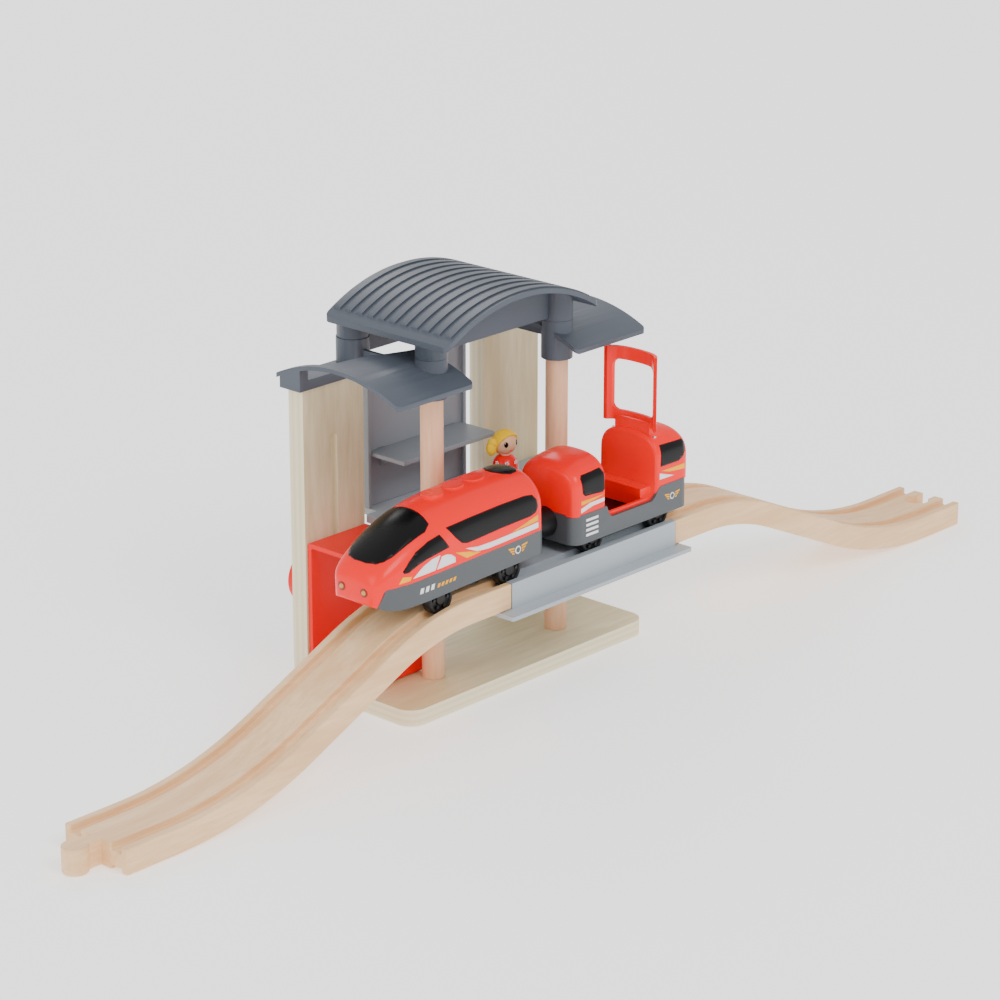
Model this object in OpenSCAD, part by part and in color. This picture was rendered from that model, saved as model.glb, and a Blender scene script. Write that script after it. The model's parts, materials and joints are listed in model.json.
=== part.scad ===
// Wooden train set: a station with a hand lift and a raised platform, two
// beech ramps, a battery locomotive, a passenger wagon and a small figure.
// Millimetres. The origin is the centre of the station base's underside.
// +X runs along the track, +Y runs from the track to the back wall, +Z is up.

/* [Station] */
// Length of the plywood base, along the track
base_w = 169; // [168:0.5:171]
// Depth of the plywood base
base_d = 81; // [80.5:0.5:83]
// Thickness of the plywood base
base_t = 8; // [7:0.5:9]
// Thickness of the two plywood back panels
panel_t = 9.5; // [9:0.25:10]
// Width of each plywood back panel
panel_w = 40; // [39:0.5:41]
// Height of the passenger platform above the floor
platform_z = 78; // [77:0.5:79]

/* [Track] */
// Width of the wooden track
track_w = 40; // [39:0.5:41]
// Thickness of the wooden track
track_t = 12.5; // [12:0.25:13]
// Height of the raised rail deck above the floor
deck_z = 65.3; // [64:0.1:66]
// Length of each ramp
ramp_len = 241; // [236:1:250]
// Depth of the wheel grooves
groove_d = 3; // [2.5:0.25:3]

/* [Roofs] */
// Height of the big roof's ridge above the floor
ridge_z = 192.7; // [190:0.1:195]
// Span of the big roof, along the track
roof_w = 106; // [104:1:108]
// Number of ribs on the big roof
rib_count = 11; // [9:1:13]

/* [Train] */
// Width of the locomotive and the wagon
train_w = 37; // [36:0.5:37]
// Radius of every wheel
wheel_r = 7.8; // [7.4:0.1:7.8]
// Nose-down angle of the locomotive on the start of the ramp
loco_tilt = 1.8; // [1.5:0.1:2]

/* [Hidden] */
$fn = 48;

// Station layout
post_x = 43.75;                       // posts stand at +-post_x
post_y = -15.7;
post_r = 5.5;
post_top = 162;
panel_x = 42;                         // inner edge of each panel
panel_back = base_d / 2;
panel_front = panel_back - panel_t;
panel_top = 152.5;
panel_mid = (panel_front + panel_back) / 2;
slot_w = 4.2;
slot_low = 43;
slot_high = 124;
wall_w = 68.6;
wall_t = 2.5;
wall_top = 149;
wall_front = panel_back - 0.5 - wall_t;
shelf_z = 104;
shelf_d = 23.5;
shelf_t = 2.2;
platform_t = 3.5;
platform_left = -42.2;
platform_right = 82;

// Track layout
track_y = post_y - post_r - 0.5 - track_w / 2;
bridge_left = -38.3;
bridge_right = 80.1;
bridge_wall = 2.4;
bridge_low = deck_z - track_t - 0.2;
flange_t = 2;
flange_out = 8;
groove_w = 6.4;
ramp_groove_extra = 0.3;                // keeps wheels clear where the ramp bends
groove_y = 13;                        // from the track's middle to a groove's middle
ramp_angle = 24;
crest_r = 130;
sag_r = 190;
ramp_lead = 25;
peg_reach = 11.5;
peg_r = 6;
neck_w = 6.4;
peg_gap = 0.45;

// Roof layout
roof_front = -34.5;
roof_back = 45.5;
roof_t = 2.4;
roof_rise = 15.4;
roof_r = (pow(roof_w / 2, 2) + pow(roof_rise, 2)) / (2 * roof_rise);
rib_h = 0.8;
rib_w = 4;
socket_r = 7.7;
socket_low = 148;
socket_seam = 167.5;
cap_low = 150;
cap_gap = 0.15;
back_socket_y = panel_mid;
wing_w = 51;
left_wing_out = 85.5;
right_wing_out = 88;
wing_t = 2;
wing_eave = 156.3;
wing_rise = 9.6;
wing_span = roof_back - roof_front;
wing_r = (pow(wing_span / 2, 2) + pow(wing_rise, 2)) / (2 * wing_rise);
wing_mid = (roof_front + roof_back) / 2;
wing_z = wing_eave + wing_rise - wing_r;
roof_z = ridge_z - roof_r;
gable_low = 169;
back_gable_low = 158;
gable_t = 2;
gable_half = post_x - socket_r - 0.8;

// Lift
lift_x = panel_x + panel_w / 2;
lift_w = 38;
lift_front = -7.7;
lift_back = panel_front - 0.4;
lift_low = base_t + 0.3;
lift_h = 66;
lift_wall = 2.4;
pin_z = 48;
pin_r = 1.75;
knob_r = 13.5;
knob_t = 9.5;

// Train
wheel_clear = 0.45;                   // room under the wheels for the linear tilt of the joint
wheel_z = deck_z - groove_d + wheel_clear + wheel_r;
wheel_t = 5.4;
axle_r = 1.5;
wheel_y = 13.3;                       // from the track's middle to a wheel's middle
axle_len = 2 * wheel_y + wheel_t;
rear_axle_x = -35.5;
front_axle_x = -82;
wagon_axle_x = [23.2, 71.5];
loco_rear = -13.9;
loco_nose = -122.6;
loco_skirt_top = 85.2;
loco_skirt_low = 73.4;
bumper_x = -117;
bumper_low = 77;
lamp_z = 83.8;
shell_t = 1.8;
arch_n = 2.2;                         // fullness of the roof's cross-section
// Plan of the locomotive: x, half width
LOCO = [[-122.6, 9.5], [-121.6, 12.2], [-119.5, 14.2], [-115, 15.8], [-108, 17.2], [-100, 18],
    [-92, 18.5], [-18, 18.5], [-14.8, 17.6], [-13.9, 16.6]];
loco_shoulder = 97.5;
loco_roof = 114.7;
// The nose is cut by sloping arches: x and height of a point on each crown, slope in degrees
NOSE = [[-122.6, 88.6, 37.5], [-102, 104.4, 20], [-86, 111.4, 9]];
button_x = [-69.5, -56, -42.5];
button_len = 11.5;
button_w = 10;
button_top = 115.3;
gear_m = 0.5;
gear_teeth = 15;
pinion_teeth = 10;
gear_y = -6;
gear_w = 2.6;
pinion_w = 3.2;
shaft_z = wheel_z + gear_m * (gear_teeth + pinion_teeth) / 2 + 0.1;
motor_r = 4.7;
battery_r = 5.2;
battery_len = 44.5;
battery_x = -76;
battery_z = 87.4;
board_z = 105;
magnet_r = 4.2;
magnet_z = 79.6;
bearing_y = 8.6;
loco_screw_x = [-104, -20];
bearing_t = 1.6;
well_r = 9.2;

wagon_left = 7.4;
wagon_right = 92.2;
wagon_low = 70.5;
wagon_skirt_top = 85.4;
well_left = 31.2;                       // open cabin, from the hood to the seat back
well_right = 67.2;
dip_z = 79.2;
hood_roof = 111.4;
cab_roof = 111.4;
hood_shoulder = 98;
hood_n = 2.6;
cabin_floor_z = 76;
seat_x = 59.5;
seat_z = 85.5;
hinge_x = 71.4;
hinge_z = 108.5;
lid_front = 29.5;
lid_rear = 66.9;
lid_low = 105;
lid_t = 1.7;
lobe_w = 22;
pin_hinge_r = 0.9;

// Figure, standing on the platform
figure_x = 30.5;
figure_y = 6;
head_r = 5.8;
head_z = platform_z + 24.6;

beech = [0.93, 0.79, 0.63];
plywood = [0.9, 0.85, 0.74];
roof_grey = [0.35, 0.37, 0.4];
light_grey = [0.64, 0.67, 0.7];
mid_grey = [0.53, 0.55, 0.58];
red = [0.95, 0.16, 0.12];
lift_red = [0.86, 0.1, 0.1];
skirt_grey = [0.36, 0.37, 0.38];
black = [0.08, 0.08, 0.08];
steel = [0.75, 0.76, 0.78];

// ---- shared shapes ----

// A flat plate with rounded corners in plan, from the corner [x0, y0] to [x1, y1]
module rounded_plan(x0, y0, x1, y1, r) {
    translate([x0 + r, y0]) square([x1 - x0 - 2 * r, y1 - y0]);
    translate([x0, y0 + r]) square([x1 - x0, y1 - y0 - 2 * r]);
    for (x = [x0 + r, x1 - r], y = [y0 + r, y1 - r])
        translate([x, y]) circle(r);
}

module rounded_plate(x0, y0, x1, y1, r, low, high) {
    translate([0, 0, low]) linear_extrude(high - low) rounded_plan(x0, y0, x1, y1, r);
}

module block(x0, y0, z0, x1, y1, z1) {
    translate([x0, y0, z0]) cube([x1 - x0, y1 - y0, z1 - z0]);
}

// A drawing in the X-Z plane, made solid from y0 to y1
module side_extrude(y0, y1) {
    translate([0, y1, 0]) rotate([90, 0, 0]) linear_extrude(y1 - y0) children();
}

// A drawing in the Y-Z plane, made solid from x0 to x1
module cross_extrude(x0, x1) {
    translate([x0, 0, 0]) rotate([90, 0, 90]) linear_extrude(x1 - x0) children();
}

module upright(x, y, r, low, high) {
    translate([x, y, low]) cylinder(r = r, h = high - low);
}

// A round bar across the track, centred on the track's middle line
module cross_bar(x, z, r, y0, y1) {
    translate([x, track_y + y1, z]) rotate([90, 0, 0]) cylinder(r = r, h = y1 - y0);
}

// Cross-section of a vehicle: upright sides up to the shoulder, then a full arch
function arch_ring(half, low, shoulder, top, n, steps) = concat(
    [[-half, low]],
    [for (i = [0:steps]) let (a = 180 - 180 * i / steps, c = cos(a), s = sin(a))
        [half * sign(c) * pow(abs(c), 2 / n), shoulder + (top - shoulder) * pow(s, 2 / n)]],
    [[half, low]]);

module arch_section(half, low, shoulder, top, n) {
    polygon([for (p = arch_ring(half, low, shoulder, top, n, 28)) [track_y + p[0], p[1]]]);
}

// ---- station ----

module base_plate() {
    color(plywood) difference() {
        rounded_plate(-base_w / 2, -base_d / 2, base_w / 2, base_d / 2, 9, 0, base_t);
        for (s = [-1, 1]) {
            upright(s * post_x, post_y, 2, -1, base_t + 1);
            upright(s * post_x, post_y, 3.8, -1, 2.6);
            for (dx = [10, 30]) {
                upright(s * (panel_x + dx), panel_mid, 2, -1, base_t + 1);
                upright(s * (panel_x + dx), panel_mid, 3.8, -1, 2.6);
            }
        }
    }
}

module wood_screw(x, y) {
    upright(x, y, 3.5, 0.4, 2.6);
    upright(x, y, 1.8, 2.5, base_t + 14);
}

module base_screws() {
    color(steel) for (s = [-1, 1]) {
        wood_screw(s * post_x, post_y);
        for (dx = [10, 30]) wood_screw(s * (panel_x + dx), panel_mid);
    }
}

module panel_blank(s) {
    difference() {
        block(s < 0 ? -panel_x - panel_w : panel_x, panel_front, base_t,
            s < 0 ? -panel_x : panel_x + panel_w, panel_back, panel_top);
        for (dx = [10, 30]) upright(s * (panel_x + dx), panel_mid, 1.8, 0, base_t + 14);
    }
}

module left_panel() {
    color(plywood) difference() {
        panel_blank(-1);
        side_extrude(panel_front - 1, panel_back + 1)
            rounded_plan(-lift_x - slot_w / 2, slot_low, -lift_x + slot_w / 2, slot_high, slot_w / 2 - 0.01);
    }
}

module right_panel() { color(plywood) panel_blank(1); }

module post(s) {
    color(beech) difference() {
        upright(s * post_x, post_y, post_r, base_t, post_top);
        upright(s * post_x, post_y, 1.8, 0, base_t + 14);
    }
}

module left_post() { post(-1); }
module right_post() { post(1); }

module back_wall() {
    color(mid_grey) difference() {
        union() {
            block(-wall_w / 2, wall_front, platform_z, wall_w / 2, wall_front + wall_t, wall_top);
            for (s = [-1, 1])
                block(s * wall_w / 2 - (s > 0 ? 2 : 0), wall_front - 2, platform_z,
                    s * wall_w / 2 + (s < 0 ? 2 : 0), wall_front + 0.1, wall_top);
        }
        for (x = [-24, 24])
            block(x - 3.1, wall_front - 1, shelf_z - 0.1, x + 3.1, wall_front + wall_t + 1,
                shelf_z + shelf_t + 0.1);
    }
}

// Shelf with two tabs that plug into the back wall and two gussets under it
module wall_shelf() {
    color(light_grey) {
        block(-32.2, wall_front - shelf_d, shelf_z, 32.2, wall_front, shelf_z + shelf_t);
        for (x = [-24, 24]) {
            block(x - 3, wall_front - 0.1, shelf_z, x + 3, wall_front + wall_t, shelf_z + shelf_t);
            translate([x - 0.8, 0, 0]) rotate([90, 0, 90]) linear_extrude(1.6)
                polygon([[wall_front, shelf_z + 0.1], [wall_front - 9, shelf_z + 0.1],
                    [wall_front - 9, shelf_z - 1], [wall_front, shelf_z - 7]]);
        }
    }
}

// Passenger platform: a plate between the lift, the panels and the track, with a
// collar round each post and skirts down to the rail deck
module platform() {
    low = platform_z - platform_t;
    front = track_y + track_w / 2 + 0.2;
    color(light_grey) difference() {
        union() {
            rounded_plate(platform_left, front, platform_right, panel_front - 0.1, 2, low, platform_z);
            block(-wall_w / 2, panel_front - 5, low, wall_w / 2, wall_front + wall_t, platform_z);
            block(bridge_left, front, bridge_low, platform_right - 3, front + 2, low + 0.1);
            for (x = [bridge_left, platform_right - 5])
                block(x, front, bridge_low, x + 2, panel_front - 4, low + 0.1);
            block(bridge_left, panel_front - 6, bridge_low + 8, platform_right - 3, panel_front - 4,
                low + 0.1);
            upright(post_x, post_y, post_r + 2.2, bridge_low, low + 0.1);
            upright(-post_x, post_y, post_r + 2.2, bridge_low + 8, platform_z);
            block(-post_x, post_y - 2, bridge_low + 8, bridge_left + 1, post_y + 2, platform_z);
        }
        for (s = [-1, 1]) upright(s * post_x, post_y, post_r, 0, platform_z + 1);
        block(-post_x - 9, post_y - 9, 0, platform_right + 1, front, platform_z + 1);
    }
}

// ---- track ----

// Cross-section of a track in Y-Z, between two heights, grooved on the top face
module groove_cuts(x0, x1, floor_z, top) {
    for (s = [-1, 1])
        block(x0, track_y + s * groove_y - groove_w / 2, floor_z, x1,
            track_y + s * groove_y + groove_w / 2, top);
}

module peg_plan(x, dir, extra) {
    translate([x + dir * peg_reach, track_y]) circle(peg_r + extra);
    translate([min(x, x + dir * peg_reach) - (dir > 0 ? 1 : 0), track_y - neck_w / 2 - extra])
        square([peg_reach + 1, neck_w + 2 * extra]);
}

// Raised plastic rail deck: a shallow channel with side walls and a foot flange
module track_bridge() {
    y0 = track_y - track_w / 2;
    y1 = track_y + track_w / 2;
    plate = groove_d + 2.2;
    color(light_grey) difference() {
        union() {
            block(bridge_left, y0, deck_z - plate, bridge_right, y1, deck_z);
            for (y = [y0, y1 - bridge_wall])
                block(bridge_left, y, bridge_low, bridge_right, y + bridge_wall, deck_z - 1);
            for (x = [bridge_left, bridge_right - bridge_wall, bridge_right - 22])
                block(x, y0 + 1, bridge_low, x + bridge_wall, y1 - 1, deck_z - 1);
            rounded_plate(bridge_left - 8, y0 - flange_out, bridge_right + 3.5, y1, 1,
                bridge_low - flange_t, bridge_low);
            translate([0, 0, bridge_low]) linear_extrude(deck_z - bridge_low)
                peg_plan(bridge_left, -1, 0);
            block(bridge_right - 21, track_y - 10, bridge_low, bridge_right, track_y + 10, deck_z - 1);
        }
        groove_cuts(bridge_left - 1, bridge_right + 1, deck_z - groove_d, deck_z + 1);
        translate([0, 0, bridge_low - 0.01]) linear_extrude(deck_z - bridge_low + 1)
            peg_plan(bridge_right, -1, peg_gap);
        block(bridge_left + 14, y0 + 6, bridge_low - flange_t - 1, bridge_right - 26, y1 - 6,
            bridge_low + 0.1);
    }
}

function ramp_straight() = (deck_z - track_t - (crest_r + sag_r) * (1 - cos(ramp_angle))) / sin(ramp_angle);
function ramp_run() = ramp_lead + (crest_r + sag_r) * sin(ramp_angle) + ramp_straight() * cos(ramp_angle);

// The ramp's running line, lowered by off, as [distance from the deck, height]
function ramp_line(off, steps = 10) = concat(
    [[0, deck_z - off]],
    [for (i = [0:steps]) let (a = ramp_angle * i / steps)
        [ramp_lead + (crest_r - off) * sin(a), deck_z - crest_r + (crest_r - off) * cos(a)]],
    [for (i = [0:steps]) let (a = ramp_angle * (1 - i / steps))
        [ramp_run() - (sag_r + off) * sin(a), track_t + sag_r - (sag_r + off) * cos(a)]],
    [[ramp_len, track_t - off]]);

function reversed(list) = [for (i = [len(list) - 1:-1:0]) list[i]];

// A strip of the ramp between two depths under its running line; end is where it meets the deck
module ramp_strip(end, dir, top, bottom, y0, y1) {
    outline = concat(ramp_line(top), reversed(ramp_line(bottom)));
    side_extrude(y0, y1) polygon([for (p = outline) [end + dir * p[0], p[1]]]);
}

module ramp_blank(end, dir) {
    difference() {
        ramp_strip(end, dir, 0, track_t, track_y - track_w / 2, track_y + track_w / 2);
        for (s = [-1, 1], face = [[-5, groove_d + ramp_groove_extra], [track_t - 2, track_t + 5]])
            ramp_strip(end, dir, face[0], face[1],
                track_y + s * groove_y - groove_w / 2, track_y + s * groove_y + groove_w / 2);
    }
}

module peg(x, dir, low) {
    translate([0, 0, low]) linear_extrude(track_t) peg_plan(x, dir, 0);
}

module socket_cut(x, dir, low) {
    translate([0, 0, low - 1]) linear_extrude(track_t + 2) peg_plan(x, dir, peg_gap);
}

module left_ramp() {
    end = bridge_left - 0.3;
    color(beech) difference() {
        union() {
            ramp_blank(end, -1);
            peg(end - ramp_len, -1, 0);
        }
        socket_cut(end, -1, deck_z - track_t);
    }
}

module right_ramp() {
    end = bridge_right + 0.3;
    color(beech) difference() {
        union() {
            ramp_blank(end, 1);
            peg(end, -1, deck_z - track_t);
        }
        socket_cut(end + ramp_len, -1, 0);
    }
}

// ---- roofs ----

// Points along a shallow arch of radius r about (cx, cz), out to half its span
function arc(r, cx, cz, half, steps = 36) = let (a = asin(half / r))
    [for (i = [0:steps]) let (t = -a + 2 * a * i / steps) [cx + r * sin(t), cz + r * cos(t)]];

module arc_band(r, thick, cx, cz, half) {
    polygon(concat(arc(r, cx, cz, half), reversed(arc(r - thick, cx, cz, half))));
}

module arc_dome(r, cx, cz, half, low) {
    polygon(concat(arc(r, cx, cz, half), [[cx + half, low], [cx - half, low]]));
}

// Plan of a wing roof: a sheet over the lift and posts, and a narrow rim to the back
module wing_plan(out) {
    rounded_plan(0, roof_front, wing_w, 1.5, 2.5);
    polygon([[0, roof_front + 4], [wing_w, roof_front + 4], [wing_w, 1.5], [wing_w - 6, 3],
        [wing_w - 16, 6.5], [wing_w - 23, 11], [10, 14], [0, 14]]);
    rounded_plan(0, 10, 4, roof_back, 1.2);
}

// One wing roof, drawn for the left end: the outer end is at x = 0 and x grows inwards
module wing(out) {
    px = out - post_x;
    cap_in = out - panel_x + 2;
    color(roof_grey) difference() {
        union() {
            intersection() {
                cross_extrude(-1, wing_w + 1) arc_band(wing_r, wing_t, wing_mid, wing_z, wing_span / 2 + 1);
                linear_extrude(200) wing_plan(out);
            }
            upright(px, post_y, socket_r, socket_low, socket_seam - 0.1);
            upright(px, back_socket_y, socket_r + 0.4, cap_low, socket_seam - 0.1);
            block(out - panel_x - panel_w - 2, panel_front - 2, cap_low, cap_in, panel_back + 2, 155);
            intersection() {
                block(0, panel_front - 2, cap_low, 5.5, panel_back + 2, 170);
                cross_extrude(-1, 7) arc_dome(wing_r - 0.5, wing_mid, wing_z, wing_span / 2, 120);
            }
            block(px - 1, post_y, 157.5, px + 1, panel_front, 162);
        }
        upright(px, post_y, post_r + 0.02, 0, post_top + 0.2);
        upright(px, post_y, 3.1, post_top, 180);
        upright(px, back_socket_y, 3.1, 158, 180);
        block(out - panel_x - panel_w - cap_gap, panel_front - cap_gap, 100,
            out - panel_x + cap_gap, panel_back + cap_gap, panel_top + cap_gap);
    }
}

module left_roof() { translate([-left_wing_out, 0, 0]) wing(left_wing_out); }
module right_roof() { translate([right_wing_out, 0, 0]) mirror([1, 0, 0]) wing(right_wing_out); }

// Gable wall under the big roof, with a straight lower edge
module gable(y, low) {
    side_extrude(y - gable_t / 2, y + gable_t / 2) arc_dome(roof_r - 1, 0, roof_z, post_x, low);
}

module main_roof() {
    rib_pitch = (roof_back - roof_front - 8) / (rib_count - 1);
    color(roof_grey) {
        intersection() {
            side_extrude(roof_front, roof_back) arc_band(roof_r, roof_t, 0, roof_z, roof_w / 2);
            rounded_plate(-roof_w / 2, roof_front, roof_w / 2, roof_back, 3, 150, 200);
        }
        for (i = [0:rib_count - 1]) {
            y = roof_front + 4 + i * rib_pitch;
            side_extrude(y - rib_w / 2, y + rib_w / 2)
                arc_band(roof_r + rib_h, rib_h + roof_t / 2, 0, roof_z, roof_w / 2 - 5);
        }
        gable(post_y, gable_low);
        gable(back_socket_y, socket_seam + 0.2);
        block(-gable_half, back_socket_y - gable_t / 2, back_gable_low, gable_half,
            back_socket_y + gable_t / 2, socket_seam + 2);
        for (s = [-1, 1], y = [post_y, back_socket_y]) {
            intersection() {
                upright(s * post_x, y, socket_r, socket_seam, 195);
                side_extrude(roof_front, roof_back) arc_dome(roof_r - 0.8, 0, roof_z, roof_w / 2, 150);
            }
            upright(s * post_x, y, 3, socket_seam - (y < 0 ? 5 : 9), socket_seam + 0.1);
        }
    }
}

// ---- lift ----

module lift_cabin() {
    y0 = lift_front;
    y1 = lift_back;
    z0 = lift_low;
    z1 = lift_low + lift_h;
    x0 = -lift_x - lift_w / 2;
    x1 = -lift_x + lift_w / 2;
    color(lift_red) difference() {
        rounded_box_x(x0, x1, y0, y1, z0, z1, 1.5);
        rounded_box_x(x0 - 1, x1 + 1, y0 + lift_wall, y1 - lift_wall, z0 + lift_wall, z1 - lift_wall, 1);
        translate([-lift_x, y1 + 1, pin_z]) rotate([90, 0, 0]) cylinder(r = 1.2, h = 6);
    }
}

module rounded_box_x(x0, x1, y0, y1, z0, z1, r) {
    translate([x0, 0, 0]) rotate([90, 0, 90]) linear_extrude(x1 - x0) rounded_plan(y0, z0, y1, z1, r);
}

// Grip disc behind the panel, with a stem that runs in the slot
module lift_knob() {
    face = panel_back + 0.5;
    color(lift_red) translate([-lift_x, 0, pin_z]) rotate([-90, 0, 0]) difference() {
        union() {
            translate([0, 0, face]) cylinder(r = knob_r, h = knob_t);
            translate([0, 0, lift_back]) cylinder(r = pin_r, h = face - lift_back + 0.1);
        }
        translate([0, 0, face + 2]) cylinder(r = 9.5, h = knob_t);
        translate([0, 0, lift_back - 1]) cylinder(r = 0.95, h = 30);
    }
}

module lift_screw() {
    color(steel) translate([-lift_x, 0, pin_z]) rotate([-90, 0, 0]) {
        translate([0, 0, panel_back + 2.5]) cylinder(r = 2.6, h = 1.6);
        translate([0, 0, lift_back - lift_wall]) cylinder(r = 0.95,
            h = panel_back + 2.6 - lift_back + lift_wall);
    }
}

// ---- locomotive ----

// The locomotive is drawn level and tips nose-down about its rear axle
module on_ramp() {
    translate([rear_axle_x, 0, wheel_z]) rotate([0, -loco_tilt, 0])
        translate([-rear_axle_x, 0, -wheel_z]) children();
}

module loco_plan(inset) {
    polygon(concat([for (s = LOCO) [s[0] + (s[0] < -60 ? inset : -inset), track_y + s[1] - inset]],
        reversed([for (s = LOCO) [s[0] + (s[0] < -60 ? inset : -inset), track_y - s[1] + inset]])));
}

module loco_solid(inset, low) {
    half = half_w - inset;
    intersection() {
        cross_extrude(loco_nose - 9, loco_rear + 9)
            arch_section(half, low, loco_shoulder, loco_roof - inset, arch_n);
        nose_arch(NOSE[0], half, inset);
        nose_arch(NOSE[1], half, inset);
        nose_arch(NOSE[2], half, inset);
        translate([0, 0, low]) linear_extrude(60) loco_plan(inset);
    }
}

module nose_arch(n, half, inset) {
    translate([n[0], 0, n[1]]) rotate([0, -n[2], 0]) translate([0, 0, -inset])
        cross_extrude(-120, 220) arch_section(half, -150, loco_shoulder - loco_roof, 0, arch_n);
}

module button_plan(x, extra) {
    translate([x - button_len / 2 + button_w / 2, track_y]) circle(button_w / 2 + extra);
    translate([x + button_len / 2 - button_w / 2, track_y]) circle(button_w / 2 + extra);
    translate([x - button_len / 2 + button_w / 2, track_y - button_w / 2 - extra])
        square([button_len - button_w, button_w + 2 * extra]);
}

// The red nose reaches lower than the shell; its rear edge leans forward to the bottom
function bumper_at(z) = bumper_x - (loco_skirt_top - z) * 0.5;

module loco_body() {
    color(red) on_ramp() difference() {
        union() {
            loco_solid(0, loco_skirt_top);
            intersection() {
                loco_solid(0, bumper_low);
                side_extrude(track_y - 20, track_y + 20)
                    polygon([[loco_nose - 9, 70],
                        [bumper_at(70), 70], [bumper_at(86), 86], [loco_nose - 9, 86]]);
            }
        }
        loco_solid(shell_t, loco_skirt_top - 4);
        for (x = button_x)
            translate([0, 0, 100]) linear_extrude(20) button_plan(x, 0.25);
        for (s = [-1, 1]) translate([loco_nose + 3.8, track_y + s * 7, lamp_z]) rotate([0, -90, 0])
            cylinder(r = 2.05, h = 20);
    }
}

// Grey skirt and floor of the locomotive, with the axle bearings under it
module loco_chassis() {
    color(skirt_grey) on_ramp() difference() {
        union() {
            difference() {
                loco_skirt(0);
                translate([0, 0, 1.8]) loco_skirt(1.6);
            }
            for (x = [rear_axle_x, front_axle_x], s = [-1, 1])
                block(x - 3, track_y + s * bearing_y - bearing_t / 2, wheel_z - 3,
                    x + 3, track_y + s * bearing_y + bearing_t / 2, loco_skirt_low + 3);
            for (x = [battery_x - battery_len / 2 - 3.4, battery_x + battery_len / 2 + 1.4])
                block(x, track_y - 7, loco_skirt_low + 1, x + 2, track_y + 7, battery_z + 2);
            for (s = [-1, 1])
                block(battery_x - 18, track_y + s * 5.9 - 0.6, loco_skirt_low + 1,
                    battery_x + 18, track_y + s * 5.9 + 0.6, battery_z);
            for (x = loco_screw_x)
                upright(x, track_y, 3, loco_skirt_low + 0.5, loco_skirt_top + 6);
        }
        for (x = [rear_axle_x, front_axle_x], s = [-1, 1])
            cross_bar(x, wheel_z, well_r, s > 0 ? 9.8 : -16.6, s > 0 ? 16.6 : -9.8);
        for (x = [rear_axle_x, front_axle_x])
            cross_bar(x, wheel_z, axle_r + 0.06, -12, 12);
        block(rear_axle_x - 5.5, track_y + gear_y - 2, 60, rear_axle_x + 5.5, track_y + gear_y + 2.2, 90);
        block(rear_axle_x - 6.6, track_y - 4.4, 60, rear_axle_x + 6.6, track_y + 7.6, 80);
        for (x = loco_screw_x) upright(x, track_y, 1.1, 60, 100);
        for (x = loco_screw_x) upright(x, track_y, 2.4, 60, loco_skirt_low + 1.2);
        translate([loco_rear - 1.8, track_y, magnet_z]) rotate([0, 90, 0]) cylinder(r = magnet_r, h = 5);
    }
}

// Solid form of the grey skirt: the plan follows the shell, the chin rises to the nose
module loco_skirt(inset) {
    low = loco_skirt_low;
    intersection() {
        translate([0, 0, low]) linear_extrude(loco_skirt_top - low) loco_plan(inset);
        side_extrude(track_y - 20, track_y + 20) polygon([[bumper_at(bumper_low) + 0.3 + inset, 60],
            [loco_rear + 1, 60], [loco_rear + 1, 90], [bumper_at(90) + 0.3 + inset, 90],
            [bumper_at(bumper_low) + 0.3 + inset, bumper_low]]);
        side_extrude(track_y - 30, track_y + 30) polygon(concat(
            [[loco_rear + 5, low], [loco_rear + 5, loco_skirt_top + 1], [loco_nose - 5, loco_skirt_top + 1]],
            [for (i = [0:8]) let (a = 90 * i / 8)
                [-104 - 20 * cos(a), low + 8.6 * (1 - sin(a))]]));
    }
}

module loco_screws() {
    color(steel) on_ramp() for (x = loco_screw_x) {
        upright(x, track_y, 2.1, loco_skirt_low - -0.2, loco_skirt_low + 1.2);
        upright(x, track_y, 1.1, loco_skirt_low + 1.1, loco_skirt_top + 5);
    }
}

module headlights() {
    color([0.85, 0.6, 0.15]) on_ramp() for (s = [-1, 1]) translate([0, track_y + s * 7, lamp_z]) {
        translate([loco_nose + 1.5, 0, 0]) rotate([0, 90, 0]) cylinder(r = 1.95, h = 2.2);
        translate([loco_nose + 1.6, 0, 0]) sphere(r = 1.5);
    }
}

// Thin black windscreen moulding on the sloping nose
module windshield() {
    color(black) on_ramp() difference() {
        intersection() {
            loco_solid(-0.35, loco_skirt_top);
            windshield_plan();
        }
        loco_solid(-0.02, loco_skirt_top - 5);
    }
}

module windshield_plan() {
    translate([0, 0, 88]) linear_extrude(40) polygon([for (i = [0:23]) let (a = 360 * i / 24, c = cos(a),
        s = sin(a))
        [-101.5 + 14.2 * sign(c) * pow(abs(c), 0.75) + 1.6 * s * s,
            track_y + (12.4 + 1.2 * c) * sign(s) * pow(abs(s), 0.75)]]);
}

module button(i) {
    color(red) on_ramp() {
        translate([0, 0, 111]) linear_extrude(button_top - 111) button_plan(button_x[i], 0);
        translate([button_x[i], track_y, board_z + 2.7]) cylinder(r = 1.6, h = 3.5);
    }
}

module forward_button() { button(0); }
module stop_button() { button(1); }
module reverse_button() { button(2); }

module circuit_board() {
    color([0.1, 0.4, 0.2]) on_ramp() {
        block(-80, track_y - 8, board_z - 1.2, -33, track_y + 8, board_z);
        for (x = button_x) block(x - 3, track_y - 3, board_z - 0.1, x + 3, track_y + 3, board_z + 2);
        for (x = [-79, -36]) block(x, track_y - 1, battery_z + battery_r + 1, x + 2, track_y + 1,
            board_z - 1.1);
    }
}

module battery() {
    color([0.2, 0.3, 0.5]) on_ramp() translate([battery_x - battery_len / 2, track_y, battery_z])
        rotate([0, 90, 0]) {
            cylinder(r = battery_r, h = battery_len - 1);
            cylinder(r = 1.9, h = battery_len);
        }
}

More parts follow.
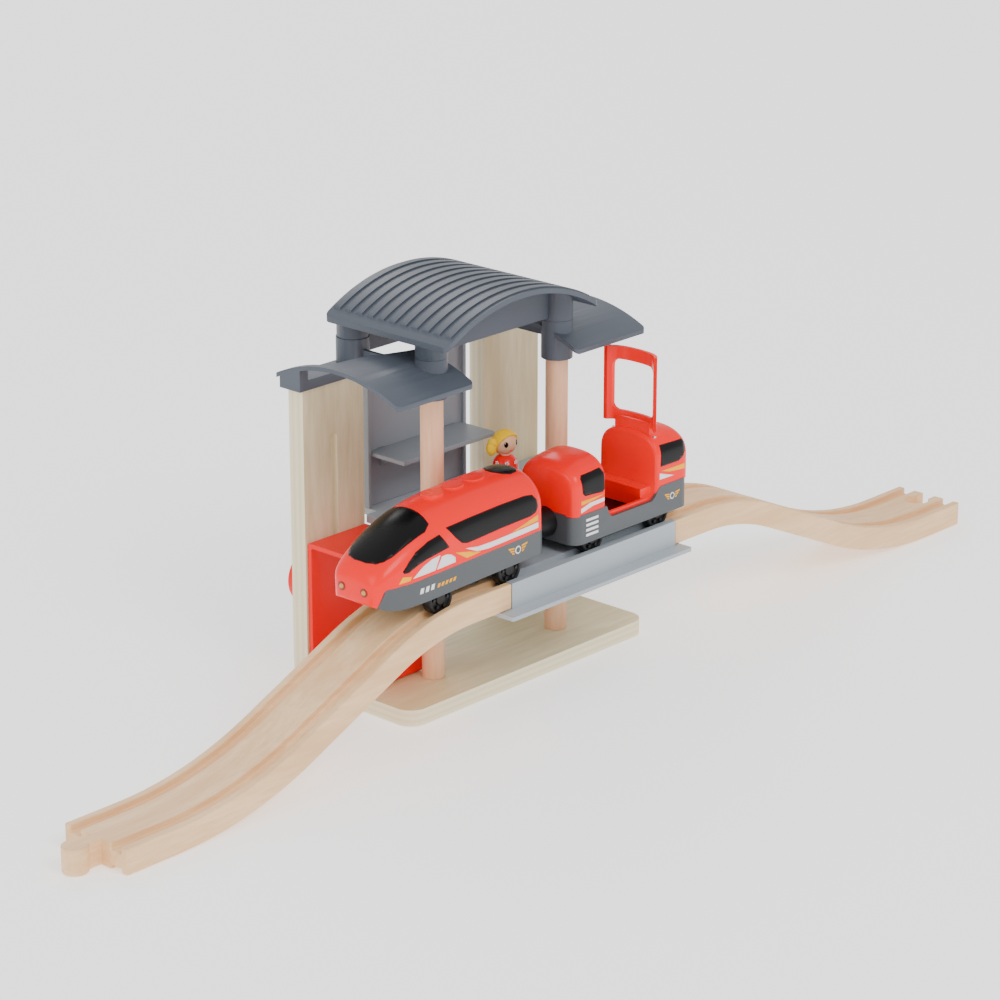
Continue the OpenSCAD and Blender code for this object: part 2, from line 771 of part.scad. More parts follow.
module battery_contacts() {
    color(steel) on_ramp() {
        block(battery_x - battery_len / 2 - 0.9, track_y - 4, battery_z - 4,
            battery_x - battery_len / 2 - 0.4, track_y + 4, battery_z + 4);
        block(battery_x + battery_len / 2 + 0.3, track_y - 4, battery_z - 4,
            battery_x + battery_len / 2 + 0.8, track_y + 4, battery_z + 4);
    }
}

module motor() {
    color(steel) on_ramp() {
        intersection() {
            cross_bar(rear_axle_x, shaft_z, motor_r + 1.6, -3.2, 7.2);
            block(rear_axle_x - 8, track_y - 4, shaft_z - motor_r, rear_axle_x + 8, track_y + 9,
                shaft_z + motor_r);
        }
        cross_bar(rear_axle_x, shaft_z, 1.6, -4, -3.1);
    }
}

function gear_ring(teeth, turn) = let (r = gear_m * teeth / 2, step = 360 / teeth)
    [for (i = [0:teeth - 1]) for (q = [[-0.3, -0.55], [-0.2, 0.1], [-0.1, 0.42], [0.1, 0.42], [0.2, 0.1],
        [0.3, -0.55]])
        let (a = turn + step * (i + q[0])) [(r + q[1]) * cos(a), (r + q[1]) * sin(a)]];

// A spur gear across the track with a round bore
module gear(teeth, z, y, w, bore, turn) {
    translate([rear_axle_x, track_y + y + w / 2, z]) rotate([90, 0, 0]) linear_extrude(w) difference() {
        polygon(gear_ring(teeth, turn));
        circle(bore, $fn = 32);
    }
}

module drive_gear() { color([0.9, 0.9, 0.88]) on_ramp() gear(gear_teeth, wheel_z, gear_y, gear_w, axle_r,
    90); }

module motor_pinion() {
    color([0.8, 0.65, 0.3]) on_ramp() {
        gear(pinion_teeth, shaft_z, gear_y, pinion_w, 0.5, -90 + 180 / pinion_teeth);
        cross_bar(rear_axle_x, shaft_z, 0.5, gear_y - pinion_w / 2, -4.1);
    }
}

module loco_magnet() {
    color(steel) on_ramp() translate([loco_rear - 1.7, track_y, magnet_z]) rotate([0, 90, 0])
        cylinder(r = magnet_r - 0.05, h = 3.5);
}

// ---- wheels ----

module axle(x) {
    cross_bar(x, wheel_z, axle_r, -axle_len / 2 + 1.4, axle_len / 2 - 1.4);
}

// A pair of wheels with a round tread, a dished outer face and a hub
module wheel_pair(x) {
    for (s = [-1, 1]) translate([x, track_y + s * wheel_y, wheel_z]) rotate([s * -90, 0, 0])
        rotate_extrude($fn = 48) polygon([[axle_r, -wheel_t / 2], [wheel_r - 0.6, -wheel_t / 2],
            [wheel_r, -wheel_t / 2 + 0.6], [wheel_r, wheel_t / 2 - 0.6], [wheel_r - 0.6, wheel_t / 2],
            [wheel_r - 1.7, wheel_t / 2], [wheel_r - 2.2, wheel_t / 2 - 1.1],
            [3.2, wheel_t / 2 - 1.1], [2.8, wheel_t / 2 - 0.1], [0, wheel_t / 2 - 0.1],
            [0, wheel_t / 2 - 1.35], [axle_r, wheel_t / 2 - 1.35]]);
}

module loco_front_axle() { color(steel) on_ramp() axle(front_axle_x); }
module loco_front_wheels() { color(black) on_ramp() wheel_pair(front_axle_x); }
module loco_rear_axle() { color(steel) on_ramp() axle(rear_axle_x); }
module loco_rear_wheels() { color(black) on_ramp() wheel_pair(rear_axle_x); }
module wagon_front_axle() { color(steel) axle(wagon_axle_x[0]); }
module wagon_front_wheels() { color(black) wheel_pair(wagon_axle_x[0]); }
module wagon_rear_axle() { color(steel) axle(wagon_axle_x[1]); }
module wagon_rear_wheels() { color(black) wheel_pair(wagon_axle_x[1]); }

// ---- wagon ----

half_w = train_w / 2;

// Side view of the grey skirt: level, with a dip under the open cabin
module wagon_skirt_side(extra) {
    top = wagon_skirt_top;
    polygon([[wagon_left - 1, wagon_low - 1], [wagon_right + 1, wagon_low - 1], [wagon_right + 1, top],
        [well_right + 3.2, top], [well_right + 1.2, top - 1.6], [well_right - 1, dip_z + 1.6],
        [well_right - 3.4, dip_z], [well_left + 3.4, dip_z], [well_left + 1.2, dip_z + 1.6],
        [well_left, top - 1.6], [well_left - 0.8, top], [wagon_left - 1, top]]);
}

module wagon_plan_solid(inset, low, high) {
    rounded_plate(wagon_left + inset, track_y - half_w + inset, wagon_right - inset, track_y + half_w - inset,
        6 - inset, low, high);
}

module wagon_chassis() {
    color(skirt_grey) difference() {
        union() {
            difference() {
                intersection() {
                    wagon_plan_solid(0, wagon_low, wagon_skirt_top);
                    side_extrude(track_y - 30, track_y + 30) wagon_skirt_side();
                }
                wagon_plan_solid(1.6, wagon_low + 1.8, wagon_skirt_top + 1);
            }
            for (x = wagon_axle_x, s = [-1, 1])
                block(x - 3, track_y + s * bearing_y - bearing_t / 2, wheel_z - 3,
                    x + 3, track_y + s * bearing_y + bearing_t / 2, wagon_low + 3);
        }
        for (x = wagon_axle_x) {
            for (s = [-1, 1])
                cross_bar(x, wheel_z, well_r, s > 0 ? 9.8 : -16.6, s > 0 ? 16.6 : -9.8);
            cross_bar(x, wheel_z, axle_r + 0.06, -12, 12);
            block(x - 2.2, track_y - 7.7, 60, x + 2.2, track_y + 7.7, 74);
        }
        for (x = [wagon_left - 2])
            block(x, track_y - 4, magnet_z - 4, x + 4.2, track_y + 4, magnet_z + 4);
    }
}

module hood_section(inset, top) {
    arch_section(half_w - 0.2 - inset, wagon_skirt_top - 8, hood_shoulder, top - inset, hood_n);
}

// Red shell of the wagon: front hood, low cabin sides, seat and rear cab in one moulding
module wagon_body() {
    top = wagon_skirt_top;
    color(red) difference() {
        union() {
            intersection() {
                wagon_plan_solid(0.2, top, 130);
                union() {
                    cross_extrude(wagon_left, well_left - 2) hood_section(0, hood_roof);
                    cross_extrude(well_right, wagon_right) hood_section(0, cab_roof);
                }
            }
            difference() {
                wagon_plan_solid(1.75, cabin_floor_z + 0.3, top + 0.1);
                block(well_left - 2, track_y - 30, dip_z + 1.8, well_right + 0.1, track_y + 30, 90);
            }
            block(seat_x, track_y - half_w + 4, cabin_floor_z + 0.3, well_right + 0.1,
                track_y + half_w - 4, seat_z);
            for (s = [-1, 1])
                block(wagon_left + 14, track_y + s * 12 - 1, cabin_floor_z + 0.2, wagon_left + 18,
                    track_y + s * 12 + 1, top + 1);
        }
        intersection() {
            wagon_plan_solid(2, cabin_floor_z - 5, 130);
            union() {
                cross_extrude(wagon_left, well_left - 3.8) hood_section(1.8, hood_roof);
                cross_extrude(well_right + 1.8, wagon_right) hood_section(1.8, cab_roof);
            }
        }
        block(well_left - 2, track_y - half_w + 3.5, 60, seat_x, track_y + half_w - 3.5, 130);
        block(seat_x + 1.6, track_y - half_w + 5.6, 60, well_right + 2, track_y + half_w - 5.6, seat_z - 1.6);
        block(well_right - 1, track_y - lobe_w / 2 - 0.3, hinge_z - 3.2, hinge_x + 3.6,
            track_y + lobe_w / 2 + 0.3, 130);
        cross_bar(hinge_x, hinge_z, pin_hinge_r, -13.4, 13.4);
        for (x = wagon_axle_x, s = [-1, 1])
            cross_bar(x, wheel_z, well_r, s > 0 ? 9.6 : -16.6, s > 0 ? 16.6 : -9.6);
        block(wagon_left - 1, track_y - 4.2, 60, wagon_left + 4.4, track_y + 4.2, magnet_z + 4.2);
    }
}

// Dark floor tray of the open cabin
module wagon_floor() {
    color(black) block(well_left + 0.1, track_y - half_w + 3.7, cabin_floor_z - 1.8,
        seat_x - 0.2, track_y + half_w - 3.7, cabin_floor_z);
}

// Roof frame of the cabin, drawn closed, with a large window and a hinge lobe
module lid_closed() {
    z_mid = hinge_z;
    difference() {
        union() {
            difference() {
                cross_extrude(lid_front, lid_rear) hood_section(0, hood_roof);
                cross_extrude(lid_front - 1, lid_rear + 1) hood_section(lid_t, hood_roof);
                block(0, track_y - 30, 60, 100, track_y + 30, lid_low);
            }
            block(lid_rear - 3, track_y - lobe_w / 2, z_mid - 1.6, hinge_x, track_y + lobe_w / 2,
                z_mid + 1.6);
            block(lid_rear - 3, track_y - lobe_w / 2, z_mid, lid_rear, track_y + lobe_w / 2, hood_roof - 1.5);
            cross_bar(hinge_x, hinge_z, 1.9, -lobe_w / 2, lobe_w / 2);
        }
        translate([0, 0, 100]) linear_extrude(30)
            rounded_plan(lid_front + 6.5, track_y - 13, lid_rear - 5, track_y + 13, 3.5);
        cross_bar(hinge_x, hinge_z, pin_hinge_r + 0.06, -20, 20);
    }
}

module wagon_lid() {
    color(red) translate([hinge_x, 0, hinge_z]) rotate([0, 90, 0]) translate([-hinge_x, 0,
        -hinge_z]) lid_closed();
}

module lid_pin() { color(steel) cross_bar(hinge_x, hinge_z, pin_hinge_r, -13.4, 13.4); }

// Magnet holder: a tab behind the skirt and a round nose that holds the magnet
module coupler(x, dir) {
    difference() {
        union() {
            block(min(x + dir * 0.1, x - dir * 3.4), track_y - 3.9, magnet_z - 3.9,
                max(x + dir * 0.1, x - dir * 3.4), track_y + 3.9, magnet_z + 3.9);
            translate([x, track_y, magnet_z]) rotate([0, dir * 90, 0]) cylinder(r1 = 7.4, r2 = 5.8, h = 14.5);
        }
        translate([x + dir * 12.5, track_y, magnet_z]) rotate([0, dir * 90, 0]) cylinder(r = magnet_r, h = 5);
    }
}

module wagon_coupler() { color(black) coupler(wagon_left, -1); }

module wagon_magnet() {
    color(steel) translate([wagon_left - 12.6, track_y, magnet_z]) rotate([0, -90, 0])
        cylinder(r = magnet_r - 0.05, h = 2.4);
}

// ---- figure ----

module figure_body() {
    color(red) translate([figure_x, figure_y, platform_z]) rotate_extrude()
        polygon(concat([[0, 0], [6.6, 0], [7, 0.5], [6.8, 6]],
            [for (i = [0:6]) let (a = 90 * i / 6) [2.6 + 4 * cos(a), 13.5 + 5.2 * sin(a)]], [[0, 18.7]]));
}

module figure_head() {
    color([0.93, 0.75, 0.6]) translate([figure_x, figure_y, head_z]) {
        sphere(r = head_r);
        translate([0, 0, -5.9]) cylinder(r = 2.5, h = 3);
    }
}

// Hair cap round the back of the head, with a side ponytail
module figure_hair() {
    color([0.98, 0.85, 0.15]) translate([figure_x, figure_y, head_z]) difference() {
        union() {
            sphere(r = head_r + 1.05);
            translate([-6.2, 2.4, 0.4]) sphere(r = 2.4);
            translate([-7.2, 2.6, -3]) sphere(r = 2.2);
        }
        sphere(r = head_r + 0.45);
        translate([1.4, -10.6, -8]) cube([20, 9, 20]);
        translate([-3, -15.6, -8]) cube([20, 12, 11.5]);
        translate([-20, -20, -14]) cube([40, 40, 8.3]);
    }
}

base_plate();
base_screws();
left_panel();
right_panel();
left_post();
right_post();
back_wall();
wall_shelf();
platform();
track_bridge();
left_ramp();
right_ramp();
left_roof();
right_roof();
main_roof();
lift_cabin();
lift_knob();
lift_screw();
loco_body();
loco_chassis();
loco_screws();
headlights();
windshield();
forward_button();
stop_button();
reverse_button();
circuit_board();
battery();
battery_contacts();
motor();
motor_pinion();
drive_gear();
loco_magnet();
loco_front_axle();
loco_front_wheels();
loco_rear_axle();
loco_rear_wheels();
wagon_body();
wagon_chassis();
wagon_floor();
wagon_lid();
lid_pin();
wagon_coupler();
wagon_magnet();
wagon_front_axle();
wagon_front_wheels();
wagon_rear_axle();
wagon_rear_wheels();
figure_body();
figure_head();
figure_hair();
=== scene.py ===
# %% [markdown]
# Wooden train set: the look of the object.
# The measured parts come from the shared frame, in metres, and every piece made here rides on
# one of its bodies. The steps go from camera and light, through the woods and plastics, to the
# station, the locomotive, the wagon and the little figure.

# %% Load the frame
import json, math
import bpy, bmesh
import numpy as np
from mathutils import Matrix, Vector


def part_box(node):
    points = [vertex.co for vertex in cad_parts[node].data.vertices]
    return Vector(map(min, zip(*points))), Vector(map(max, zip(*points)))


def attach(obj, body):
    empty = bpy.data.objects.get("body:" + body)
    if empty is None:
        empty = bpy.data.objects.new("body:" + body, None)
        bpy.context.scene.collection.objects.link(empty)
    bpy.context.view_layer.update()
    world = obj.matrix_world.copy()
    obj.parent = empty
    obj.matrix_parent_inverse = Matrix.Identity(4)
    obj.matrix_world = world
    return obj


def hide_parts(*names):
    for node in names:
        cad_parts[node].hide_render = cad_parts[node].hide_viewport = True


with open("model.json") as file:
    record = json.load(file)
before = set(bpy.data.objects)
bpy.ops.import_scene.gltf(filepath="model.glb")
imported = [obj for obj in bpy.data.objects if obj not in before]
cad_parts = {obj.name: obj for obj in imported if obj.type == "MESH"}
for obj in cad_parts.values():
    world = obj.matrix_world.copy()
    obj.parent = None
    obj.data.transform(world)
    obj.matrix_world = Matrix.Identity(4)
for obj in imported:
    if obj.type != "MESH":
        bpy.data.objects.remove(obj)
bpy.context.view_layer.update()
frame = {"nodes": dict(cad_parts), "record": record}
MM = 0.001
BODY = {n: b for b, nodes in frame["record"]["behaviour"]["bodies"].items() for n in nodes}

# %% [markdown]
# The camera. A toy this size is seen from about one and a half metres away with a long lens,
# which keeps the posts parallel. The camera is an object like any other, aimed by turning its
# -Z axis towards a target point.

# %% Camera
camera_place = Vector((-1.1489, -1.0764, 0.6344))
camera_target = Vector((0.0116, -0.0080, 0.0810))
lens = bpy.data.cameras.new("camera")
lens.lens, lens.sensor_width, lens.clip_end = 124.3, 36, 20
camera = bpy.data.objects.new("camera", lens)
bpy.context.collection.objects.link(camera)
camera.location = camera_place
camera.rotation_euler = (camera_target - camera_place).to_track_quat("-Z", "Y").to_euler()
bpy.context.scene.camera = camera
print("camera distance (m):", round((camera_target - camera_place).length, 3))

# %% [markdown]
# The studio. A pale floor, a bright even sky and three large soft lamps give the gentle, nearly shadowless
# light of a catalogue picture. The floor is not part of the toy.

# %% Floor, sky and lamps
def plain_material(name, color, rough):
    mat = bpy.data.materials.new(name)
    mat.use_nodes = True
    shader = mat.node_tree.nodes["Principled BSDF"]
    shader.inputs["Base Color"].default_value = (*color, 1)
    shader.inputs["Roughness"].default_value = rough
    return mat

floor_mesh = bpy.data.meshes.new("studio_floor")
floor_mesh.from_pydata([(-6, -6, 0), (6, -6, 0), (6, 6, 0), (-6, 6, 0)], [], [(0, 1, 2, 3)])
floor = bpy.data.objects.new("studio_floor", floor_mesh)
floor.location.z = -0.0004
paper = plain_material("studio_paper", (0.93, 0.93, 0.93), 0.9)
paper.node_tree.nodes["Principled BSDF"].inputs["Emission Color"].default_value = (1, 1, 1, 1)
paper.node_tree.nodes["Principled BSDF"].inputs["Emission Strength"].default_value = 0.7
floor_mesh.materials.append(paper)
bpy.context.collection.objects.link(floor)
world = bpy.data.worlds.new("soft_sky")
world.use_nodes = True
world.node_tree.nodes["Background"].inputs["Color"].default_value = (1, 1, 1, 1)
world.node_tree.nodes["Background"].inputs["Strength"].default_value = 1.0
bpy.context.scene.world = world

def soft_lamp(name, place, size, power):
    lamp = bpy.data.lights.new(name, "AREA")
    lamp.shape, lamp.size, lamp.energy = "DISK", size, power
    holder = bpy.data.objects.new(name, lamp)
    bpy.context.collection.objects.link(holder)
    holder.location = place
    holder.rotation_euler = (-Vector(place)).to_track_quat("-Z", "Y").to_euler()

soft_lamp("key_lamp", (-0.4, -2.0, 1.9), 1.2, 32)
soft_lamp("fill_lamp", (-2.2, 0.1, 1.1), 1.4, 14)
soft_lamp("back_lamp", (1.2, 1.8, 1.8), 1.2, 15)

# %% [markdown]
# Shader groups. The wood figure and the moulded plastic are used by many materials, so each is
# a node group with named sockets, made once. A group gives out colours, masks and normals only,
# and every material keeps its own Principled shader.

# %% Helpers for node trees
def make_group(name, sockets_in, sockets_out):
    """sockets_in and sockets_out are {name: (socket type, default)}."""
    tree = bpy.data.node_groups.new(name, "ShaderNodeTree")
    for direction, sockets in (("INPUT", sockets_in), ("OUTPUT", sockets_out)):
        for label, (kind, value) in sockets.items():
            s = tree.interface.new_socket(label, in_out=direction, socket_type="NodeSocket" + kind)
            if value is not None and direction == "INPUT":
                s.default_value = value
    return tree, tree.nodes.new("NodeGroupInput").outputs, tree.nodes.new("NodeGroupOutput").inputs

def add(tree, kind, sockets=None, **settings):
    """A node with its settings; each socket gets a link or a plain value."""
    node = tree.nodes.new(kind)
    for key, value in settings.items():
        setattr(node, key, value)
    for key, value in (sockets or {}).items():
        if isinstance(value, bpy.types.NodeSocket):
            tree.links.new(value, node.inputs[key])
        else:
            node.inputs[key].default_value = value
    return node

def mix(tree, factor, a, b, blend="MIX"):
    node = add(tree, "ShaderNodeMix", {0: factor, 6: a, 7: b}, data_type="RGBA", blend_type=blend)
    return node.outputs[2]

# %% Wood figure
# Long stretched noise gives the grain, short dashes give beech its flecks.
wood_tree, w_in, w_out = make_group("wood_figure",
    {"Vector": ("Vector", None), "Light": ("Color", (0.8, 0.6, 0.4, 1)), "Dark": ("Color", (0.6, 0.4, 0.2,
    1)),
     "Fleck": ("Float", 0.3), "Depth": ("Float", 0.2)},
    {"Color": ("Color", None), "Roughness": ("Float", None), "Normal": ("Vector", None)})
grain = add(wood_tree, "ShaderNodeTexNoise", {"Vector": w_in["Vector"], "Scale": 1.0, "Detail": 5.0,
    "Roughness": 0.62})
rings = add(wood_tree, "ShaderNodeTexNoise", {"Vector": w_in["Vector"], "Scale": 0.22, "Detail": 2.0})
dash = add(wood_tree, "ShaderNodeTexVoronoi", {"Vector": w_in["Vector"], "Scale": 3.2, "Randomness": 1.0})
fleck = add(wood_tree, "ShaderNodeMapRange", {"Value": dash.outputs["Distance"], "From Min": 0.10,
    "From Max": 0.2,
    "To Min": 1.0, "To Max": 0.0})
tone = add(wood_tree, "ShaderNodeMath", {0: grain.outputs["Fac"], 1: rings.outputs["Fac"]},
    operation="MULTIPLY")
spread = add(wood_tree, "ShaderNodeMapRange", {"Value": tone.outputs[0], "From Min": 0.14, "From Max": 0.38})
body_color = mix(wood_tree, spread.outputs[0], w_in["Dark"], w_in["Light"])
strength = add(wood_tree, "ShaderNodeMath", {0: fleck.outputs[0], 1: w_in["Fleck"]}, operation="MULTIPLY")
wood_tree.links.new(mix(wood_tree, strength.outputs[0], body_color, w_in["Dark"]), w_out["Color"])
rough = add(wood_tree, "ShaderNodeMapRange", {"Value": grain.outputs["Fac"], "To Min": 0.5, "To Max": 0.66})
wood_tree.links.new(rough.outputs[0], w_out["Roughness"])
bump = add(wood_tree, "ShaderNodeBump", {"Height": grain.outputs["Fac"], "Strength": w_in["Depth"],
    "Distance": 0.0004})
wood_tree.links.new(bump.outputs[0], w_out["Normal"])
print("group:", wood_tree.name, len(wood_tree.nodes), "nodes")

# %% Moulded plastic
# A very fine grain, slow waves from the mould, and a painted highlight: rounded edges a little paler, in
# patches, where they catch the light.
mould_tree, m_in, m_out = make_group("moulded_plastic",
    {"Color": ("Color", (0.5, 0.5, 0.5, 1)), "Edge": ("Color", (0.8, 0.8, 0.8, 1)), "Highlight Amount": ("Float", 0.3),
     "Grain": ("Float", 0.1), "Base Roughness": ("Float", 0.4)},
    {"Color": ("Color", None), "Roughness": ("Float", None), "Normal": ("Vector", None)})
place = add(mould_tree, "ShaderNodeTexCoord").outputs["Object"]
fine = add(mould_tree, "ShaderNodeTexNoise", {"Vector": place, "Scale": 2600.0, "Detail": 2.0})
slow = add(mould_tree, "ShaderNodeTexNoise", {"Vector": place, "Scale": 38.0, "Detail": 3.0})
edge = add(mould_tree, "ShaderNodeNewGeometry").outputs["Pointiness"]
edge_mask = add(mould_tree, "ShaderNodeMapRange", {"Value": edge, "From Min": 0.52, "From Max": 0.62})
# Painted highlight: on rounded edges the colour turns paler, in patches, where the edges catch the light.
painted_highlight = add(mould_tree, "ShaderNodeMath", {0: edge_mask.outputs[0], 1: m_in["Highlight Amount"]}, operation="MULTIPLY")
patchy_highlight = add(mould_tree, "ShaderNodeMath", {0: painted_highlight.outputs[0], 1: slow.outputs["Fac"]}, operation="MULTIPLY")
mould_tree.links.new(mix(mould_tree, patchy_highlight.outputs[0], m_in["Color"], m_in["Edge"]), m_out["Color"])
gloss = add(mould_tree, "ShaderNodeMapRange", {"Value": slow.outputs["Fac"], "To Min": -0.05, "To Max": 0.05})
total = add(mould_tree, "ShaderNodeMath", {0: gloss.outputs[0], 1: m_in["Base Roughness"]}, operation="ADD")
mould_tree.links.new(total.outputs[0], m_out["Roughness"])
bump = add(mould_tree, "ShaderNodeBump", {"Height": fine.outputs["Fac"], "Strength": m_in["Grain"],
    "Distance": 0.0001})
mould_tree.links.new(bump.outputs[0], m_out["Normal"])
print("group:", mould_tree.name, len(mould_tree.nodes), "nodes")

# %% [markdown]
# Materials. Wood reads the object's own coordinates through a Mapping node that squeezes the grain
# along its length. Plywood shows a veneer on its faces and stripes on its edges, and the surface
# normal tells the two apart.

# %% Wood and plywood
def srgb(r, g, b):
    return tuple((c / 255 / 12.92 if c / 255 <= 0.04045 else ((c / 255 + 0.055) / 1.055) ** 2.4)
        for c in (r, g, b)) + (1,)

def new_material(name):
    mat = bpy.data.materials.new(name)
    mat.use_nodes = True
    return mat, mat.node_tree, mat.node_tree.nodes["Principled BSDF"]

def place_group(tree, group, values):
    node = tree.nodes.new("ShaderNodeGroup")
    node.node_tree = group
    for key, value in values.items():
        if isinstance(value, bpy.types.NodeSocket):
            tree.links.new(value, node.inputs[key])
        else:
            node.inputs[key].default_value = value
    return node

def feed(tree, shader, node):
    for a, b in (("Color", "Base Color"), ("Roughness", "Roughness"), ("Normal", "Normal")):
        tree.links.new(node.outputs[a], shader.inputs[b])

def wood(name, light, dark, stretch, fleck_amount):
    mat, tree, shader = new_material(name)
    coords = add(tree, "ShaderNodeTexCoord")
    mapped = add(tree, "ShaderNodeMapping", {"Vector": coords.outputs["Object"], "Scale": stretch})
    feed(tree, shader, place_group(tree, wood_tree, {"Vector": mapped.outputs[0], "Light": light,
        "Dark": dark,
        "Fleck": fleck_amount, "Depth": 0.12}))
    shader.inputs["Coat Weight"].default_value = 0.12
    shader.inputs["Coat Roughness"].default_value = 0.35
    return mat

def plywood(name, axis, first_ply, ply, stretch):
    """axis is the sheet's thickness direction: 1 for Y, 2 for Z."""
    mat, tree, shader = new_material(name)
    coords = add(tree, "ShaderNodeTexCoord")
    mapped = add(tree, "ShaderNodeMapping", {"Vector": coords.outputs["Object"], "Scale": stretch})
    face = place_group(tree, wood_tree, {"Vector": mapped.outputs[0], "Light": srgb(230, 219, 182),
        "Dark": srgb(210, 195, 150), "Fleck": 0.1, "Depth": 0.08})
    depth = add(tree, "ShaderNodeSeparateXYZ", {0: coords.outputs["Object"]}).outputs[axis]
    ramp = add(tree, "ShaderNodeMapRange", {"Value": depth, "From Min": first_ply,
        "From Max": first_ply + 2 * ply,
        "To Max": 2 * math.pi}, clamp=False)
    wave = add(tree, "ShaderNodeMath", {0: ramp.outputs[0]}, operation="SINE")
    band = add(tree, "ShaderNodeMapRange", {"Value": wave.outputs[0], "From Min": -0.5, "From Max": 0.5})
    stripes = mix(tree, band.outputs[0], srgb(226, 211, 174), srgb(234, 222, 188))
    tilt = add(tree, "ShaderNodeSeparateXYZ", {0: coords.outputs["Normal"]}).outputs[axis]
    flat = add(tree, "ShaderNodeMath", {0: tilt}, operation="ABSOLUTE")
    is_face = add(tree, "ShaderNodeMath", {0: flat.outputs[0], 1: 0.7}, operation="GREATER_THAN")
    tree.links.new(mix(tree, is_face.outputs[0], stripes, face.outputs["Color"]), shader.inputs["Base Color"])
    tree.links.new(face.outputs["Roughness"], shader.inputs["Roughness"])
    tree.links.new(face.outputs["Normal"], shader.inputs["Normal"])
    return mat

beech_light, beech_dark = srgb(246, 208, 160), srgb(232, 184, 132)
WOODS = {
    "upright_beech": wood("upright_beech", srgb(238, 192, 154), srgb(222, 168, 128), (420, 420, 40), 0.55),
    "track_beech": wood("track_beech", beech_light, beech_dark, (45, 420, 420), 0.5),
    "base_plywood": plywood("base_plywood", 2, 0.0, 0.0016, (30, 260, 260)),
    "panel_plywood": plywood("panel_plywood", 1, 0.031, 0.0019, (260, 260, 30)),
}
print("woods:", list(WOODS))

# %% [markdown]
# The plastics and metals are one recipe with different colours, gloss and painted edge highlight, so they
# come from one table. The printed marks are thin films in plain white and yellow.

# %% Plastics, metals and print
def moulded(name, color, rough, grain_depth=0.1, edge_highlight=0.3, metal=0.0, coat=0.0, mirror=0.5):
    mat, tree, shader = new_material(name)
    # The paler edge colour is a painted highlight: the plastic's own colour brightened for rounded edges.
    edge_color = tuple(min(1, c * 1.35 + 0.03) for c in color[:3]) + (1,)
    feed(tree, shader, place_group(tree, mould_tree, {"Color": color, "Edge": edge_color, "Highlight Amount": edge_highlight,
        "Grain": grain_depth, "Base Roughness": rough}))
    shader.inputs["Metallic"].default_value = metal
    shader.inputs["Coat Weight"].default_value = coat
    shader.inputs["Coat Roughness"].default_value = 0.1
    shader.inputs["Specular IOR Level"].default_value = mirror
    return mat

PLASTICS = {name: moulded(name, *values) for name, values in {
    "roof_plastic": (srgb(70, 76, 86), 0.42, 0.25, 0.4, 0.0, 0.0, 0.35),
    "deck_plastic": (srgb(160, 168, 175), 0.4, 0.2, 0.3),
    "wall_plastic": (srgb(138, 143, 150), 0.45, 0.2, 0.3),
    "train_red": (srgb(255, 0, 0), 0.26, 0.03, 0.1, 0.0, 0.1, 0.18),
    "lift_red": (srgb(240, 2, 4), 0.32, 0.05, 0.1, 0.0, 0.06, 0.18),
    "skirt_plastic": (srgb(76, 80, 83), 0.4, 0.15, 0.3, 0.0, 0.0, 0.35),
    "window_black": (srgb(6, 5, 5), 0.26, 0.02, 0.0, 0.0, 0.03, 0.18),
    "wheel_black": (srgb(15, 15, 16), 0.42, 0.2, 0.3, 0.0, 0.0, 0.3),
    "plain_steel": (srgb(190, 192, 196), 0.3, 0.1, 0.2, 1.0),
    "soft_brass": (srgb(200, 160, 90), 0.35, 0.1, 0.2, 1.0),
    # Painted shade: the body red darkened, for the shaded sockets round the headlights.
    "lamp_socket_shade": (srgb(112, 24, 12), 0.4, 0.05, 0.1),
    "amber_lamp": (srgb(205, 140, 40), 0.15, 0.02, 0.1, 0.0, 0.8),
    "white_print": (srgb(238, 234, 238), 0.35, 0.02, 0.0),
    "yellow_print": (srgb(255, 176, 0), 0.35, 0.02, 0.0, 0.0, 0.0, 0.2),
    "doll_skin": (srgb(232, 180, 140), 0.45, 0.05, 0.0),
    "doll_hair": (srgb(255, 204, 0), 0.4, 0.1, 0.0, 0.0, 0.0, 0.2),
    "board_green": (srgb(30, 110, 60), 0.4, 0.05, 0.1),
    "cell_sleeve": (srgb(50, 70, 150), 0.3, 0.05, 0.1),
    "nylon": (srgb(230, 230, 220), 0.5, 0.05, 0.1),
}.items()}
MATERIALS = {**WOODS, **PLASTICS}
print("materials:", len(MATERIALS))

# %% [markdown]
# Measured parts. Most of them have the right shape already, but a moulded or sanded part never has a knife
# edge. Each is copied, its loose triangles are merged, flat faces are joined again, and a small bevel is
# added. The copy is shown in place of the measured part, which is hidden. The copy stands for the measured
# part, which the frame keeps for contact.

# %% A bevelled copy of a measured part
def copy_of(node):
    mesh = frame["nodes"][node].data.copy()
    bm = bmesh.new()
    bm.from_mesh(mesh)
    bmesh.ops.remove_doubles(bm, verts=bm.verts, dist=2e-6)
    bmesh.ops.dissolve_limit(bm, angle_limit=math.radians(0.6), verts=bm.verts, edges=bm.edges)
    bm.to_mesh(mesh)
    bm.free()
    return mesh

def link_piece(name, mesh, material, body):
    mesh.materials.clear()
    mesh.materials.append(MATERIALS[material])
    mesh.shade_smooth()
    mesh.set_sharp_from_angle(angle=math.radians(32))
    piece = bpy.data.objects.new(name, mesh)
    bpy.context.collection.objects.link(piece)
    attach(piece, body)
    return piece

def refined(node, material, bevel=0.4):
    piece = link_piece(node + "_finished", copy_of(node), material, BODY[node])
    if bevel:
        mod = piece.modifiers.new("soft_edges", "BEVEL")
        mod.width, mod.segments, mod.limit_method = bevel * MM, 2, "ANGLE"
        mod.angle_limit, mod.harden_normals = math.radians(35), True
    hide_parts(node)
    return piece

